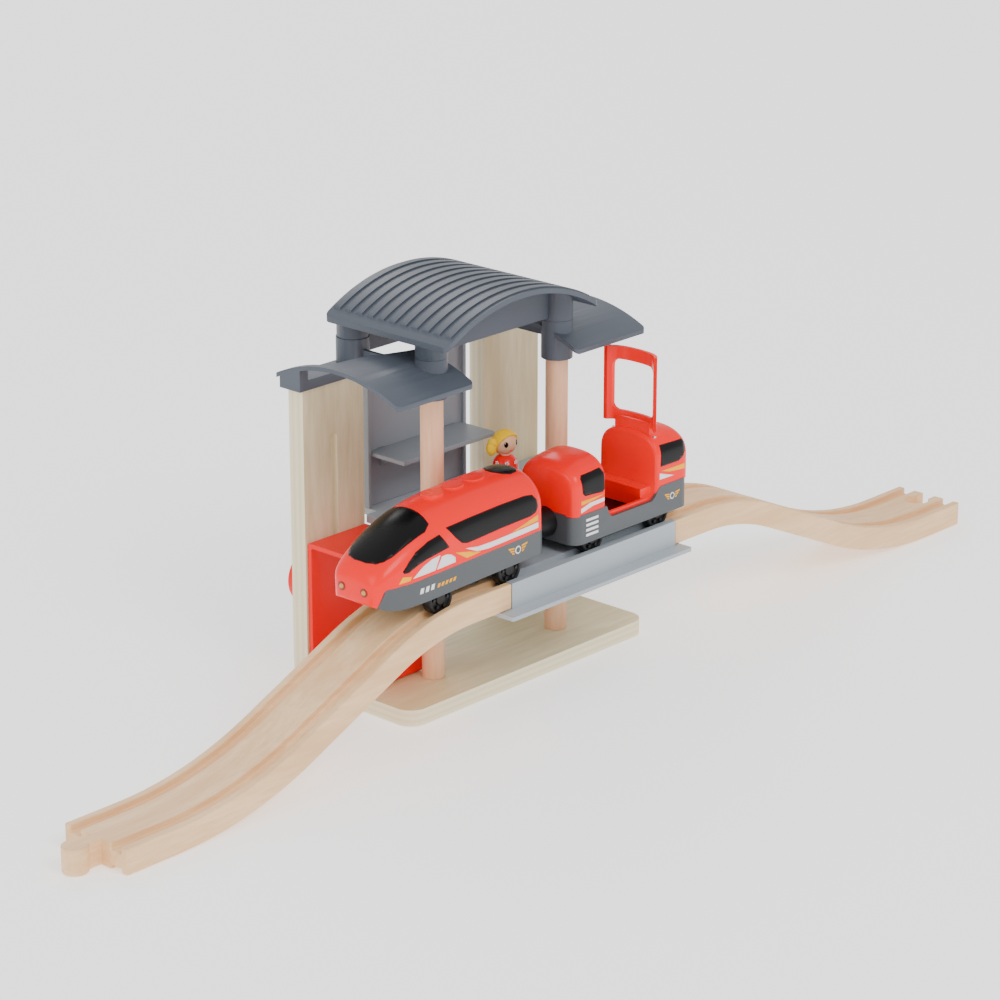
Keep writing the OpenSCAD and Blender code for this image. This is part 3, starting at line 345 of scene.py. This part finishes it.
FINISHES = {
    "base_plate": ("base_plywood", 0.8), "left_panel": ("panel_plywood", 0.5),
    "right_panel": ("panel_plywood", 0.5),
    "left_post": ("upright_beech", 0.3), "right_post": ("upright_beech", 0.3),
    "back_wall": ("wall_plastic", 0.3), "wall_shelf": ("wall_plastic", 0.4), "platform": ("deck_plastic",
    0.4),
    "track_bridge": ("deck_plastic", 0.4), "left_ramp": ("track_beech", 0.7), "right_ramp": ("track_beech",
    0.7),
    "left_roof": ("roof_plastic", 0.35), "right_roof": ("roof_plastic", 0.35), "main_roof": ("roof_plastic",
    0.3),
    "lift_cabin": ("lift_red", 0.6), "lift_knob": ("lift_red", 0.6), "lift_screw": ("plain_steel", 0.2),
    "loco_chassis": ("skirt_plastic", 0.3), "wagon_chassis": ("skirt_plastic", 0.4),
    "forward_button": ("train_red", 0.5), "stop_button": ("train_red", 0.5), "reverse_button": ("train_red",
    0.5),
    "wagon_lid": ("train_red", 0.5), "wagon_floor": ("window_black", 0.2), "lid_pin": ("plain_steel", 0),
    "wagon_coupler": ("wheel_black", 0.4), "wagon_magnet": ("plain_steel", 0.3),
    "loco_magnet": ("plain_steel", 0.3),
    "loco_front_wheels": ("wheel_black", 0.2), "loco_rear_wheels": ("wheel_black", 0.2),
    "wagon_front_wheels": ("wheel_black", 0.2), "wagon_rear_wheels": ("wheel_black", 0.2),
    "base_screws": ("plain_steel", 0.2),
}
for node, (material, bevel) in FINISHES.items():
    refined(node, material, bevel)
HIDDEN = {"loco_screws": "plain_steel", "circuit_board": "board_green", "battery": "cell_sleeve",
    "battery_contacts": "plain_steel", "motor": "plain_steel", "motor_pinion": "soft_brass",
    "drive_gear": "nylon",
    "loco_front_axle": "plain_steel", "loco_rear_axle": "plain_steel", "wagon_front_axle": "plain_steel",
    "wagon_rear_axle": "plain_steel"}
for node, material in HIDDEN.items():
    frame["nodes"][node].data.materials.clear()
    frame["nodes"][node].data.materials.append(MATERIALS[material])
print("bevelled copies:", len(FINISHES), "inner parts:", len(HIDDEN))

# %% [markdown]
# The locomotive's shell. A streamlined shell is a loft: the same arched cross-section, drawn at
# many stations along the body, wider and taller from nose to tail. A table of a few measured
# stations and a smooth curve between them give as many sections as wanted.

# %% Smooth curves through a few measured stations
TRACK_Y = (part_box("track_bridge")[1][1] - 0.02) / MM
TILT = math.radians(1.8)
rear = [sum(c) / 2 / MM for c in zip(*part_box("loco_rear_axle"))]
ON_RAMP = (Matrix.Translation((rear[0], 0, rear[2])) @ Matrix.Rotation(-TILT, 4, "Y")
    @ Matrix.Translation((-rear[0], 0, -rear[2])))

def smooth_row(table, x):
    """The table's values at x, on a cubic curve that never overshoots its points."""
    t = np.array(table, float)
    xs, out = t[:, 0], []
    i = int(np.clip(np.searchsorted(xs, x) - 1, 0, len(xs) - 2))
    h = xs[i + 1] - xs[i]
    u = min(max((x - xs[i]) / h, 0), 1)
    for k in range(1, t.shape[1]):
        slopes = np.diff(t[:, k]) / np.diff(xs)
        ends = []
        for j in (i, i + 1):
            a = slopes[max(j - 1, 0)]
            b = slopes[min(j, len(slopes) - 1)]
            ends.append(0 if a * b <= 0 else 2 * a * b / (a + b))
        out.append((2 * u**3 - 3 * u**2 + 1) * t[i, k] + (u**3 - 2 * u**2 + u) * h * ends[0]
            + (3 * u**2 - 2 * u**3) * t[i + 1, k] + (u**3 - u**2) * h * ends[1])
    return out

LOCO_POWER = 2.2   # how square the shell's arch is; 2 would be an ellipse
# x, half width, shoulder, roof, and the lower edge where it isn't the skirt's top
LOCO = [(-122.6, 8.5, 85, 87.6, 79.5), (-122.2, 10.6, 85.6, 89.4, 78), (-121, 12.8, 86.6, 92.0, 77.2),
    (-119, 14.3, 87.6, 94.6, 81.2),
    (-117, 15.1, 88.4, 96.4, 84.9), (-116.6, 15.2, 88.6, 96.8, 85), (-112, 16.4, 90, 100), (-106, 17.4,
    91.6, 103.4),
    (-100, 18, 93, 106.4), (-92, 18.4, 95, 109.6), (-84, 18.5, 96, 112), (-75, 18.5, 97, 113.7), (-62, 18.5,
    97.5, 114.6),
    (-45, 18.5, 97.5, 114.8), (-26, 18.5, 97.5, 114.3), (-18.2, 18.4, 97.2, 113.4), (-15.3, 17.8, 96.6, 112),
    (-14.2, 17.0, 96, 110.6), (-13.9, 16.2, 95.6, 109.4)]
SKIRT_TOP = 85.0
LOCO = [row if len(row) == 5 else (*row, SKIRT_TOP) for row in LOCO]

def arch(half, shoulder, roof, power, z):
    """Half width at height z: upright to the shoulder, then a full arch."""
    rise = min(max((z - shoulder) / (roof - shoulder), 0), 1)
    return half * (1 - rise ** power) ** (1 / power)

def shell_mesh(name, table, power, step=1.0, steps=40):
    """A closed loft over the table's stations, with both ends capped."""
    xs = sorted({round(r[0], 3) for r in table} | set(np.arange(table[0][0], table[-1][0],
        step).round(3).tolist()))
    bm = bmesh.new()
    rings_made = []
    for x in xs:
        half, shoulder, roof, low = smooth_row(table, x)
        pts = [(-half, low), (-half, (low + shoulder) / 2)]
        for i in range(steps + 1):
            a = math.pi * (1 - i / steps)
            c, s = math.cos(a), abs(math.sin(a))
            pts.append((half * math.copysign(abs(c) ** (2 / power), c),
                shoulder + (roof - shoulder) * s ** (2 / power)))
        pts += [(half, (low + shoulder) / 2), (half, low)]
        rings_made.append([bm.verts.new((x, TRACK_Y + y, z)) for y, z in pts])
    for a, b in zip(rings_made, rings_made[1:]):
        for j in range(len(a)):
            k = (j + 1) % len(a)
            bm.faces.new((a[j], b[j], b[k], a[k]))
    bm.faces.new(rings_made[0])
    bm.faces.new(rings_made[-1][::-1])
    bmesh.ops.recalc_face_normals(bm, faces=bm.faces)
    mesh = bpy.data.meshes.new(name)
    bm.to_mesh(mesh)
    bm.free()
    return mesh

def settle(mesh, tilted=False):
    """From millimetres on level track to metres where the piece stands."""
    if tilted:
        mesh.transform(ON_RAMP)
    mesh.transform(Matrix.Scale(MM, 4))
    return mesh

loco_shell = link_piece("loco_shell", settle(shell_mesh("loco_shell", LOCO, LOCO_POWER), True), "train_red",
    "loco")
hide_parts("loco_body")
print("loco shell faces:", len(loco_shell.data.polygons))

# %% [markdown]
# Windows and printed stripes. Each is a flat outline in side view, cut into small tiles and laid
# on the shell, a hair above it. The arch that made the shell also says how far out each point of
# it lies, so the film follows the curve, and the far side is a mirror of the near one.

# %% Outlines laid on a shell
def rounded_outline(points, rounds):
    """Corner cutting: every pass replaces a corner by two points beside it."""
    for _ in range(rounds):
        points = [tuple(np.array(a) * (1 - t) + np.array(b) * t) for a, b in zip(points,
            points[1:] + points[:1])
            for t in (0.25, 0.75)]
    return points

def tiled(points, spacing):
    bm = bmesh.new()
    bm.faces.new([bm.verts.new((x, 0, z)) for x, z in points])
    for axis in (0, 2):
        values = [p[0 if axis == 0 else 1] for p in points]
        for cut in np.arange(min(values) + spacing / 2, max(values), spacing):
            where = [0.0, 0.0, 0.0]
            where[axis] = float(cut)
            direction = [0, 0, 0]
            direction[axis] = 1
            bmesh.ops.bisect_plane(bm, geom=bm.verts[:] + bm.edges[:] + bm.faces[:], plane_co=where,
                plane_no=direction)
    return bm

def film(name, outlines, table, power, material, body, tilted, rounds=1, lift=0.12, thick=0.5):
    """A thin film with the given side-view outlines, on both sides of a shell."""
    whole = bmesh.new()
    for points in outlines:
        for side in (-1, 1):
            bm = tiled(rounded_outline(list(points), rounds), 1.5)
            for v in bm.verts:
                half, shoulder, roof = smooth_row(table, v.co.x)[:3]
                v.co.y = TRACK_Y + side * (arch(half, shoulder, roof, power, v.co.z) + lift)
            bm.normal_update()
            if sum(f.normal.y * f.calc_area() for f in bm.faces) * side < 0:
                bmesh.ops.reverse_faces(bm, faces=bm.faces)
            part = bpy.data.meshes.new("part")
            bm.to_mesh(part)
            bm.free()
            whole.from_mesh(part)
            bpy.data.meshes.remove(part)
    mesh = bpy.data.meshes.new(name)
    whole.to_mesh(mesh)
    whole.free()
    piece = link_piece(name, settle(mesh, tilted), material, body)
    wall = piece.modifiers.new("film", "SOLIDIFY")
    wall.thickness, wall.offset = thick * MM, -1
    return piece

def on_loco(name, outlines, material, rounds=1, lift=0.12):
    return film(name, outlines, LOCO, LOCO_POWER, material, "loco", True, rounds, lift)

small_window = [(-107.6, 91.8), (-103.5, 95.6), (-98.8, 98.8), (-91, 101.6), (-83.5, 102.8), (-78.4, 95.5),
    (-86, 94.8),
    (-93.2, 94), (-99, 92.6), (-104.4, 90.6), (-106.6, 90.8)]
big_window = [(-78.6, 104.6), (-63.2, 105.1), (-43, 105.2), (-26, 104.8), (-21, 104), (-18.6, 101), (-18.2,
    97.6), (-19.8, 95.2),
    (-23.5, 94.3), (-44.5, 94.4), (-60, 94), (-66.5, 94), (-70, 95), (-74, 98.8)]
on_loco("loco_small_windows", [small_window], "window_black", 0, 0.2)
on_loco("loco_big_windows", [big_window], "window_black", 0, 0.2)
on_loco("loco_white_stripes", [
    [(-101.8, 87), (-97.8, 89.6), (-94.7, 91.4), (-89.6, 93), (-84.4, 93.4), (-87.9, 87)],
    [(-86.9, 87), (-83.4, 92.4), (-80, 92.4), (-77, 91.4), (-74.6, 89.4), (-74.4, 87)],
    [(-67.7, 91.6), (-59, 90), (-49, 89.6), (-36, 89.6), (-18, 89.8), (-18, 87), (-40, 86.9), (-52.3, 87),
    (-60, 87.9)]],
    "white_print", 0)
on_loco("loco_yellow_stripes", [
    [(-110, 86.4), (-107.7, 89.4), (-102.4, 88.2), (-103.6, 86.4)],
    [(-74.6, 91.6), (-66, 89.6), (-57.4, 86.9), (-66.9, 86.6)],
    [(-36.6, 90), (-18, 93.6), (-18, 90.5)]], "yellow_print", 0)
print("films on the locomotive: 4")

# %% [markdown]
# The badge is a plain winged ring and the mark is a row of slanting dashes. They stand for the
# printed signs of such toys and carry no letters. The skirt is upright, so its table is a
# straight wall and the same film function serves.

# %% Badge and dashes on the skirts
LOCO_SKIRT = [(x, half, 99, 120, 70) for x, half, *_ in LOCO]

def circle_outline(x, z, radius):
    return [(x + radius * math.cos(a), z + radius * math.sin(a)) for a in np.linspace(0, 2 * math.pi, 16,
        False)]

def wing_badge(x, z, size):
    """A ring's outer and inner outline, and three feathers on each side."""
    wings = []
    for side in (-1, 1):
        for row in (0, 1, 2):
            a, b, up = 0.38, 1.0 - 0.17 * row, 0.26 - 0.2 * row
            line = [(x + side * size * a, z + size * up), (x + side * size * b, z + size * (up + 0.08)),
                (x + side * size * (b - 0.07), z + size * (up - 0.06)), (x + side * size * a,
                z + size * (up - 0.12))]
            wings.append(line)
    return circle_outline(x, z, size * 0.3), circle_outline(x, z, size * 0.2), wings

def dashes(x, z, count, pitch, height):
    return [[(x + i * pitch, z), (x + i * pitch + pitch * 0.6, z), (x + i * pitch + pitch * 0.6 + 0.8,
        z + height),
        (x + i * pitch + 0.8, z + height)] for i in range(count)]

ring, centre, wings = wing_badge(-32.4, 80.2, 6.6)
for name, outlines, material in (("loco_badge_ring", [ring], "white_print"), ("loco_badge_wings", wings,
    "yellow_print"),
        ("loco_white_dashes", dashes(-98, 78.2, 3, 3.4, 2.6), "white_print"),
        ("loco_yellow_dashes", dashes(-87, 78.2, 5, 2.6, 1.8), "yellow_print")):
    film(name, outlines, LOCO_SKIRT, LOCO_POWER, material, "loco",
        True, 0, 0.1, 0.3)
film("loco_badge_centre", [centre], LOCO_SKIRT, LOCO_POWER, "skirt_plastic", "loco", True, 0,
    0.18, 0.3)
print("badge and dashes on the locomotive's skirt")

# %% [markdown]
# Windscreen and roof light. Both are seen from above, so their outlines are drawn in plan and
# dropped on to the roof: a black, glossy panel that follows the nose, and a small one by the tail.

# %% Black panels on the roof
def roof_height(table, power, x, y):
    half, shoulder, roof = smooth_row(table, x)[:3]
    return shoulder + (roof - shoulder) * max(0, 1 - (abs(y) / half) ** power) ** (1 / power)

def roof_panel(name, outline, table, power, material, body, tilted, lift=0.25, thick=0.6):
    bm = tiled(outline, 1.4)
    for v in bm.verts:
        y = v.co.z
        v.co.z = roof_height(table, power, v.co.x, y) + lift
        v.co.y = TRACK_Y + y
    bm.normal_update()
    if sum(f.normal.z for f in bm.faces) < 0:
        bmesh.ops.reverse_faces(bm, faces=bm.faces)
    mesh = bpy.data.meshes.new(name)
    bm.to_mesh(mesh)
    bm.free()
    piece = link_piece(name, settle(mesh, tilted), material, body)
    wall = piece.modifiers.new("film", "SOLIDIFY")
    wall.thickness, wall.offset = thick * MM, -1
    return piece

screen = [(-117.6, -7.5), (-117.6, 7.5), (-112, 12.4), (-101.5, 13.8), (-86.2, 15), (-85.4, 8), (-85, 0),
    (-85.4, -8),
    (-86.2, -15), (-101.5, -13.8), (-112, -12.4)]
windscreen = roof_panel("loco_windscreen", rounded_outline(screen, 1), LOCO, LOCO_POWER, "window_black",
    "loco", True)
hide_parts("windshield")
tail_light = [(-33, 0), (-27, 8.2), (-18, 6.8), (-17.2, 0), (-18, -6.8), (-27, -8.2)]
roof_panel("loco_roof_window", rounded_outline(tail_light, 1), LOCO, LOCO_POWER, "window_black", "loco",
    True)
print("windscreen tiles:", len(windscreen.data.polygons))

# %% Headlights
# A short disc of painted shade, the body red darkened, stands round each amber lens, on the loft's own
# surface low on the nose.
lamp_y, lamp_z = 7.0, 83.8
socket_shade_bm, lens_bm = bmesh.new(), bmesh.new()
for side in (-1, 1):
    spot = Matrix.Translation((LOCO[0][0] + 0.45, TRACK_Y + side * lamp_y,
        lamp_z)) @ Matrix.Rotation(math.pi / 2, 4, "Y")
    bmesh.ops.create_cone(socket_shade_bm, cap_ends=True, segments=28, radius1=2.1, radius2=2.1, depth=1.3,
        matrix=spot)
    bmesh.ops.create_uvsphere(lens_bm, u_segments=20, v_segments=12, radius=1.35,
        matrix=Matrix.Translation((-0.25, 0, 0)) @ spot)
for name, bm, material, slot_name in (("loco_lamp_socket_shades", socket_shade_bm, "lamp_socket_shade", "black"), ("loco_lamps",
    lens_bm, "amber_lamp", "lamp")):
    mesh = bpy.data.meshes.new(name)
    bm.to_mesh(mesh)
    bm.free()
    lamps = link_piece(name, settle(mesh, True), material, "loco")
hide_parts("headlights")
print("lamps: 2")

# %% [markdown]
# The wagon's red body. It is one moulding: a rounded hood, a low open cabin with a seat, and a
# rounded cab. Hood and cab are short lofts, and the cabin walls between them are kept from the
# measured part, cut out of a copy of it.

# %% Hood, cab and cabin
WAGON_POWER = 2.6
HOOD = [(7.4, 14.6, 95, 105, 84.8), (7.8, 16, 95.6, 106.4, 84.8), (9, 17.4, 96.4, 107.8, 84.8), (11.2, 18.1,
    97.2, 109, 84.8),
    (14.7, 18.3, 97.8, 110, 84.8), (20.2, 18.3, 98, 111, 84.8), (24, 18.3, 98, 111.2, 79.5), (27, 18.3, 98,
    111.3, 79.5),
    (28.8, 18.2, 97.9, 111.1, 79.5), (29.5, 17.8, 97.6, 110.5, 79.5)]
CAB = [(67, 16.6, 96.4, 108.8, 79.5), (67.3, 17.6, 97.2, 110.2, 79.5), (68.2, 18.2, 98, 111.1, 79.5), (70,
    18.3, 98, 111.3, 79.5),
    (76, 18.3, 98, 111.3, 84.8), (80, 18.3, 98, 111.3, 84.8), (86.8, 18.2, 97.8, 110.6, 84.8), (90, 17.6,
    96.8, 109, 84.8),
    (91.6, 16.4, 95.8, 106.8, 84.8), (92.2, 15, 95, 105, 84.8)]
hood = link_piece("wagon_hood", settle(shell_mesh("wagon_hood", HOOD, WAGON_POWER, 0.8)), "train_red",
    "wagon")
cab = link_piece("wagon_cab", settle(shell_mesh("wagon_cab", CAB, WAGON_POWER, 0.8)), "train_red", "wagon")
cabin_mesh = copy_of("wagon_body")
bm = bmesh.new()
bm.from_mesh(cabin_mesh)
for where, direction in (((0.0293, 0, 0), (-1, 0, 0)), ((0.06715, 0, 0), (1, 0, 0))):
    cut = bmesh.ops.bisect_plane(bm, geom=bm.verts[:] + bm.edges[:] + bm.faces[:], plane_co=where,
        plane_no=direction,
        clear_outer=True)
    bmesh.ops.contextual_create(bm, geom=[e for e in cut["geom_cut"] if isinstance(e, bmesh.types.BMEdge)])
bm.to_mesh(cabin_mesh)
bm.free()
cabin = link_piece("wagon_cabin", cabin_mesh, "train_red", "wagon")
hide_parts("wagon_body")
print("hood faces:", len(hood.data.polygons), "cab faces:", len(cab.data.polygons))

# %% Windows and print on the wagon
def on_wagon(name, outlines, table, material, rounds=0, lift=0.12):
    return film(name, outlines, table, WAGON_POWER, material, "wagon", False, rounds, lift)

on_wagon("wagon_front_windows", [[(12.4, 103.4), (13.6, 104.8), (26.4, 105.6), (28.4, 103), (28.7, 94.8),
    (27.4, 93.6),
    (14.6, 94.6), (13.2, 96)]], HOOD, "window_black", 0, 0.2)
on_wagon("wagon_rear_windows", [[(70.2, 95.3), (70.8, 105.8), (87.6, 105.2), (89, 103.8), (88.8, 99.4), (87,
    96.8),
    (83.6, 95.2)]], CAB, "window_black", 0, 0.2)
on_wagon("wagon_front_yellow", [[(12.2, 92.4), (29, 92.2), (22, 91.2), (12.2, 90.2)]], HOOD, "yellow_print")
on_wagon("wagon_front_white", [[(12, 88.6), (18, 90.2), (28.8, 90.4), (28.8, 88.6), (20, 88.2), (12,
    86.4)]], HOOD, "white_print")
on_wagon("wagon_rear_yellow", [[(70.8, 93), (88.8, 92.8), (88.8, 90), (77, 91.2)]], CAB, "yellow_print")
on_wagon("wagon_rear_white", [[(69.6, 92), (80.2, 88.6), (69.6, 88.8)]], CAB,
    "white_print")
WAGON_SKIRT = [(7, 18.5, 99, 120, 70), (88, 18.5, 99, 120, 70)]
ring, centre, wings = wing_badge(79, 78.4, 5.8)
film("wagon_badge_ring", [ring], WAGON_SKIRT, LOCO_POWER, "white_print", "wagon", False, 0, 0.1, 0.3)
film("wagon_badge_wings", wings, WAGON_SKIRT, LOCO_POWER, "yellow_print", "wagon", False, 0, 0.1,
    0.3)
film("wagon_badge_centre", [centre], WAGON_SKIRT, LOCO_POWER, "skirt_plastic", "wagon", False,
    0, 0.18, 0.3)
print("films on the wagon: 9")

# %% [markdown]
# Repeated details by Geometry Nodes. The four louvres on the wagon's skirt are one small block
# repeated along a line; the studs on the wheels are one repeated round a ring. Each tree has its
# sizes as named inputs, and the result is baked to a plain mesh.

# %% Tools for the trees
def make_tree(name, inputs):
    tree = bpy.data.node_groups.new(name, "GeometryNodeTree")
    tree.interface.new_socket("Geometry", in_out="OUTPUT", socket_type="NodeSocketGeometry")
    ids = {}
    for label, (kind, value) in inputs.items():
        s = tree.interface.new_socket(label, in_out="INPUT", socket_type="NodeSocket" + kind)
        if value is not None:
            s.default_value = value
        ids[label] = s.identifier
    return tree, tree.nodes.new("NodeGroupInput").outputs, tree.nodes.new("NodeGroupOutput").inputs, ids

def finish_tree(tree, result, material, out):
    real = add(tree, "GeometryNodeRealizeInstances", {"Geometry": result})
    painted = add(tree, "GeometryNodeSetMaterial", {"Geometry": real.outputs[0], "Material": material})
    tree.links.new(painted.outputs[0], out["Geometry"])

def baked(name, tree, ids, values, matrix, material, body):
    """Runs the tree with these values and keeps the result as a plain mesh."""
    holder = bpy.data.objects.new(name + "_maker", bpy.data.meshes.new(name + "_maker"))
    bpy.context.collection.objects.link(holder)
    mod = holder.modifiers.new("maker", "NODES")
    mod.node_group = tree
    for label, value in values.items():
        mod[ids[label]] = value
    bpy.context.view_layer.update()
    mesh = bpy.data.meshes.new_from_object(holder.evaluated_get(bpy.context.evaluated_depsgraph_get()))
    holder.modifiers.clear()
    bpy.data.objects.remove(holder)
    mesh.transform(matrix)
    mesh.name = name
    return link_piece(name, mesh, material, body)

# %% Louvres along a line
row_tree, r_in, r_out, row_ids = make_tree("blocks_along_a_line", {"Count": ("Int", 4), "Pitch": ("Float",
    0.002),
    "Size": ("Vector", (0.01, 0.001, 0.001)), "Material": ("Material", None)})
step_by = add(row_tree, "ShaderNodeCombineXYZ", {"Z": r_in["Pitch"]})
line = add(row_tree, "GeometryNodeMeshLine", {"Count": r_in["Count"], "Offset": step_by.outputs[0]},
    mode="OFFSET")
blocks = add(row_tree, "GeometryNodeMeshCube", {"Size": r_in["Size"]})
copies = add(row_tree, "GeometryNodeInstanceOnPoints", {"Points": line.outputs[0],
    "Instance": blocks.outputs[0]})
finish_tree(row_tree, copies.outputs[0], r_in["Material"], r_out)
for side, label in ((-1, "near"), (1, "far")):
    louvres = baked("wagon_louvres_" + label, row_tree, row_ids, {"Count": 4, "Pitch": 2.5 * MM,
        "Size": (8.6 * MM, 0.5 * MM, 1.2 * MM),
        "Material": MATERIALS["white_print"]}, Matrix.Translation((19.6 * MM, (TRACK_Y + side * 18.55) * MM,
        74.6 * MM)),
        "white_print", "wagon")
print("louvre faces:", len(louvres.data.polygons))

# %% Studs round each wheel
ring_tree, g_in, g_out, ring_ids = make_tree("studs_round_a_ring", {"Count": ("Int", 8),
    "Ring Radius": ("Float", 0.005),
    "Stud Radius": ("Float", 0.001), "Height": ("Float", 0.001), "Material": ("Material", None)})
circle = add(ring_tree, "GeometryNodeMeshCircle", {"Vertices": g_in["Count"], "Radius": g_in["Ring Radius"]})
stud = add(ring_tree, "GeometryNodeMeshCylinder", {"Vertices": 12, "Radius": g_in["Stud Radius"],
    "Depth": g_in["Height"]})
studs = add(ring_tree, "GeometryNodeInstanceOnPoints", {"Points": circle.outputs[0],
    "Instance": stud.outputs[0]})
finish_tree(ring_tree, studs.outputs[0], g_in["Material"], g_out)
for wheels in ("loco_front", "loco_rear", "wagon_front", "wagon_rear"):
    low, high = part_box(wheels + "_wheels")
    centre = [(a + b) / 2 for a, b in zip(low, high)]
    for side, label in ((-1, "near"), (1, "far")):
        face_y = (low[1] if side < 0 else high[1]) + side * -0.7 * MM
        turn = Matrix.Translation((centre[0], face_y, centre[2])) @ Matrix.Rotation(math.pi / 2, 4, "X")
        baked(wheels + "_studs_" + label, ring_tree, ring_ids, {"Count": 6, "Ring Radius": 4.4 * MM,
            "Stud Radius": 0.85 * MM,
            "Height": 1.2 * MM, "Material": MATERIALS["wheel_black"]}, turn, "wheel_black",
            BODY[wheels + "_wheels"])
print("stud rings: 8")

# %% [markdown]
# The figure. A turned wooden doll is a shape of revolution: a rounded body and a ball for a head.
# The hair is a painted cap with a ponytail, the eyes are black ovals and the mouth is a thin
# smile. Small white flowers are printed over the red shirt.

# %% Doll
doll_low, doll_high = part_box("figure_body")
doll_x, doll_y = [(a + b) / 2 / MM for a, b in zip(doll_low[:2], doll_high[:2])]
doll_z = doll_low[2] / MM
head_low, head_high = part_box("figure_head")
head_r = (head_high[0] - head_low[0]) / 2 / MM
head_z = head_high[2] / MM - head_r

def ball(bm, centre, radii, turn=None, detail=24):
    matrix = Matrix.Translation(centre) @ (turn or Matrix.Identity(4)) @ Matrix.Diagonal((*radii, 1))
    bmesh.ops.create_uvsphere(bm, u_segments=detail, v_segments=detail // 2, radius=1, matrix=matrix)

def blob_piece(name, balls, material):
    bm = bmesh.new()
    for item in balls:
        ball(bm, *item)
    mesh = bpy.data.meshes.new(name)
    bm.to_mesh(mesh)
    bm.free()
    return link_piece(name, settle(mesh), material, "figure")

head = blob_piece("doll_head", [((doll_x, doll_y, head_z), (head_r,) * 3, None, 40), ((doll_x, doll_y,
    head_z - 6), (2.6, 2.6, 2))],
    "doll_skin")
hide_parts("figure_head")
face_turn = math.radians(-96)

def on_head(azimuth, height, out=0.0, radius=head_r):
    """A point on the head, by direction round it and height above its middle."""
    a = face_turn + math.radians(azimuth)
    flat = math.sqrt(max(radius**2 - height**2, 0)) + out
    return (doll_x + flat * math.cos(a), doll_y + flat * math.sin(a), head_z + height)

EYE_AZIMUTH = 36
eye_turn = {s: Matrix.Rotation(face_turn + math.radians(s * EYE_AZIMUTH), 4, "Z") for s in (-1, 1)}
blob_piece("doll_eyes", [(on_head(s * EYE_AZIMUTH, 0.5, -0.1), (0.45, 1.05, 1.45), eye_turn[s])
    for s in (-1, 1)], "window_black")
blob_piece("doll_eye_lights", [(on_head(s * EYE_AZIMUTH - 4, 1.2, 0.2), (0.22, 0.3, 0.3), eye_turn[s], 10)
    for s in (-1, 1)],
    "white_print")
smile = [(on_head(a, -2.4 - 0.5 * math.cos(math.radians(a * 5)), -0.05), (0.22, 0.4, 0.22),
    Matrix.Rotation(face_turn + math.radians(a), 4, "Z"), 8) for a in range(-14, 15, 4)]
blob_piece("doll_mouth", smile, "train_red")

def doll_body():
    profile = [(0, 0), (6.4, 0), (6.9, 0.4), (7.0, 1.2), (6.9, 6), (6.7, 10), (6.4, 13), (5.7, 15.6), (4.5,
        17.5), (2.8, 18.6), (0, 18.7)]
    bm = bmesh.new()
    around = 48
    rows = [[bm.verts.new((doll_x + r * math.cos(2 * math.pi * i / around),
        doll_y + r * math.sin(2 * math.pi * i / around), doll_z + z))
        for i in range(around)] if r else [bm.verts.new((doll_x, doll_y, doll_z + z))] for r, z in profile]
    for a, b in zip(rows, rows[1:]):
        for i in range(around):
            k = (i + 1) % around
            corners = [a[i % len(a)], a[k % len(a)], b[k % len(b)], b[i % len(b)]]
            bm.faces.new(list(dict.fromkeys(corners)))
    bmesh.ops.recalc_face_normals(bm, faces=bm.faces)
    mesh = bpy.data.meshes.new("doll_body")
    bm.to_mesh(mesh)
    bm.free()
    return mesh

doll = link_piece("doll_body", settle(doll_body()), "lift_red", "figure")
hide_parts("figure_body")
print("doll height (mm):", round(head_high[2] / MM - doll_z, 1))

# %% Hair
# A cap a little larger than the head, opened at the face by a sloping plane, and a ponytail.
def hair_mesh():
    bm = bmesh.new()
    ball(bm, (doll_x, doll_y, head_z + 0.2), (head_r + 0.8,) * 3, None, 48)
    open_way = Vector((math.cos(face_turn), math.sin(face_turn), -0.62)).normalized()
    middle = Vector((doll_x, doll_y, head_z)) + open_way * 1.3
    cut = bmesh.ops.bisect_plane(bm, geom=bm.verts[:] + bm.edges[:] + bm.faces[:], plane_co=middle,
        plane_no=open_way, clear_outer=True)
    rim = [e for e in cut["geom_cut"] if isinstance(e, bmesh.types.BMEdge)]
    bmesh.ops.contextual_create(bm, geom=rim)
    for centre, radii in (((doll_x - 6.3, doll_y + 2.4, head_z + 0.6), (2.5, 2.5, 2.5)),
            ((doll_x - 7.2, doll_y + 2.6, head_z - 2.0), (2.6, 2.5, 3.6))):
        ball(bm, centre, radii)
    mesh = bpy.data.meshes.new("doll_hair")
    bm.to_mesh(mesh)
    bm.free()
    return mesh

hair = link_piece("doll_hair_cap", settle(hair_mesh()), "doll_hair", "figure")
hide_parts("figure_hair")
flowers = []
for row, height in enumerate((4.2, 8.6, 12.4, 15.4)):
    for i in range(7):
        a = 2 * math.pi * (i + 0.5 * (row % 2)) / 7
        radius = float(np.interp(height, (0, 6, 10, 13, 15.6), (7, 6.95, 6.75, 6.45, 5.75)))
        for petal in range(5):
            p = 2 * math.pi * petal / 5
            side, up = 0.75 * math.cos(p), 0.75 * math.sin(p)
            flowers.append(((doll_x + radius * math.cos(a) - side * math.sin(a),
                doll_y + radius * math.sin(a) + side * math.cos(a),
                doll_z + height + up), (0.18, 0.42, 0.42), Matrix.Rotation(a, 4, "Z"), 8))
blob_piece("doll_flowers", flowers, "white_print")
print("flowers:", len(flowers) // 5)
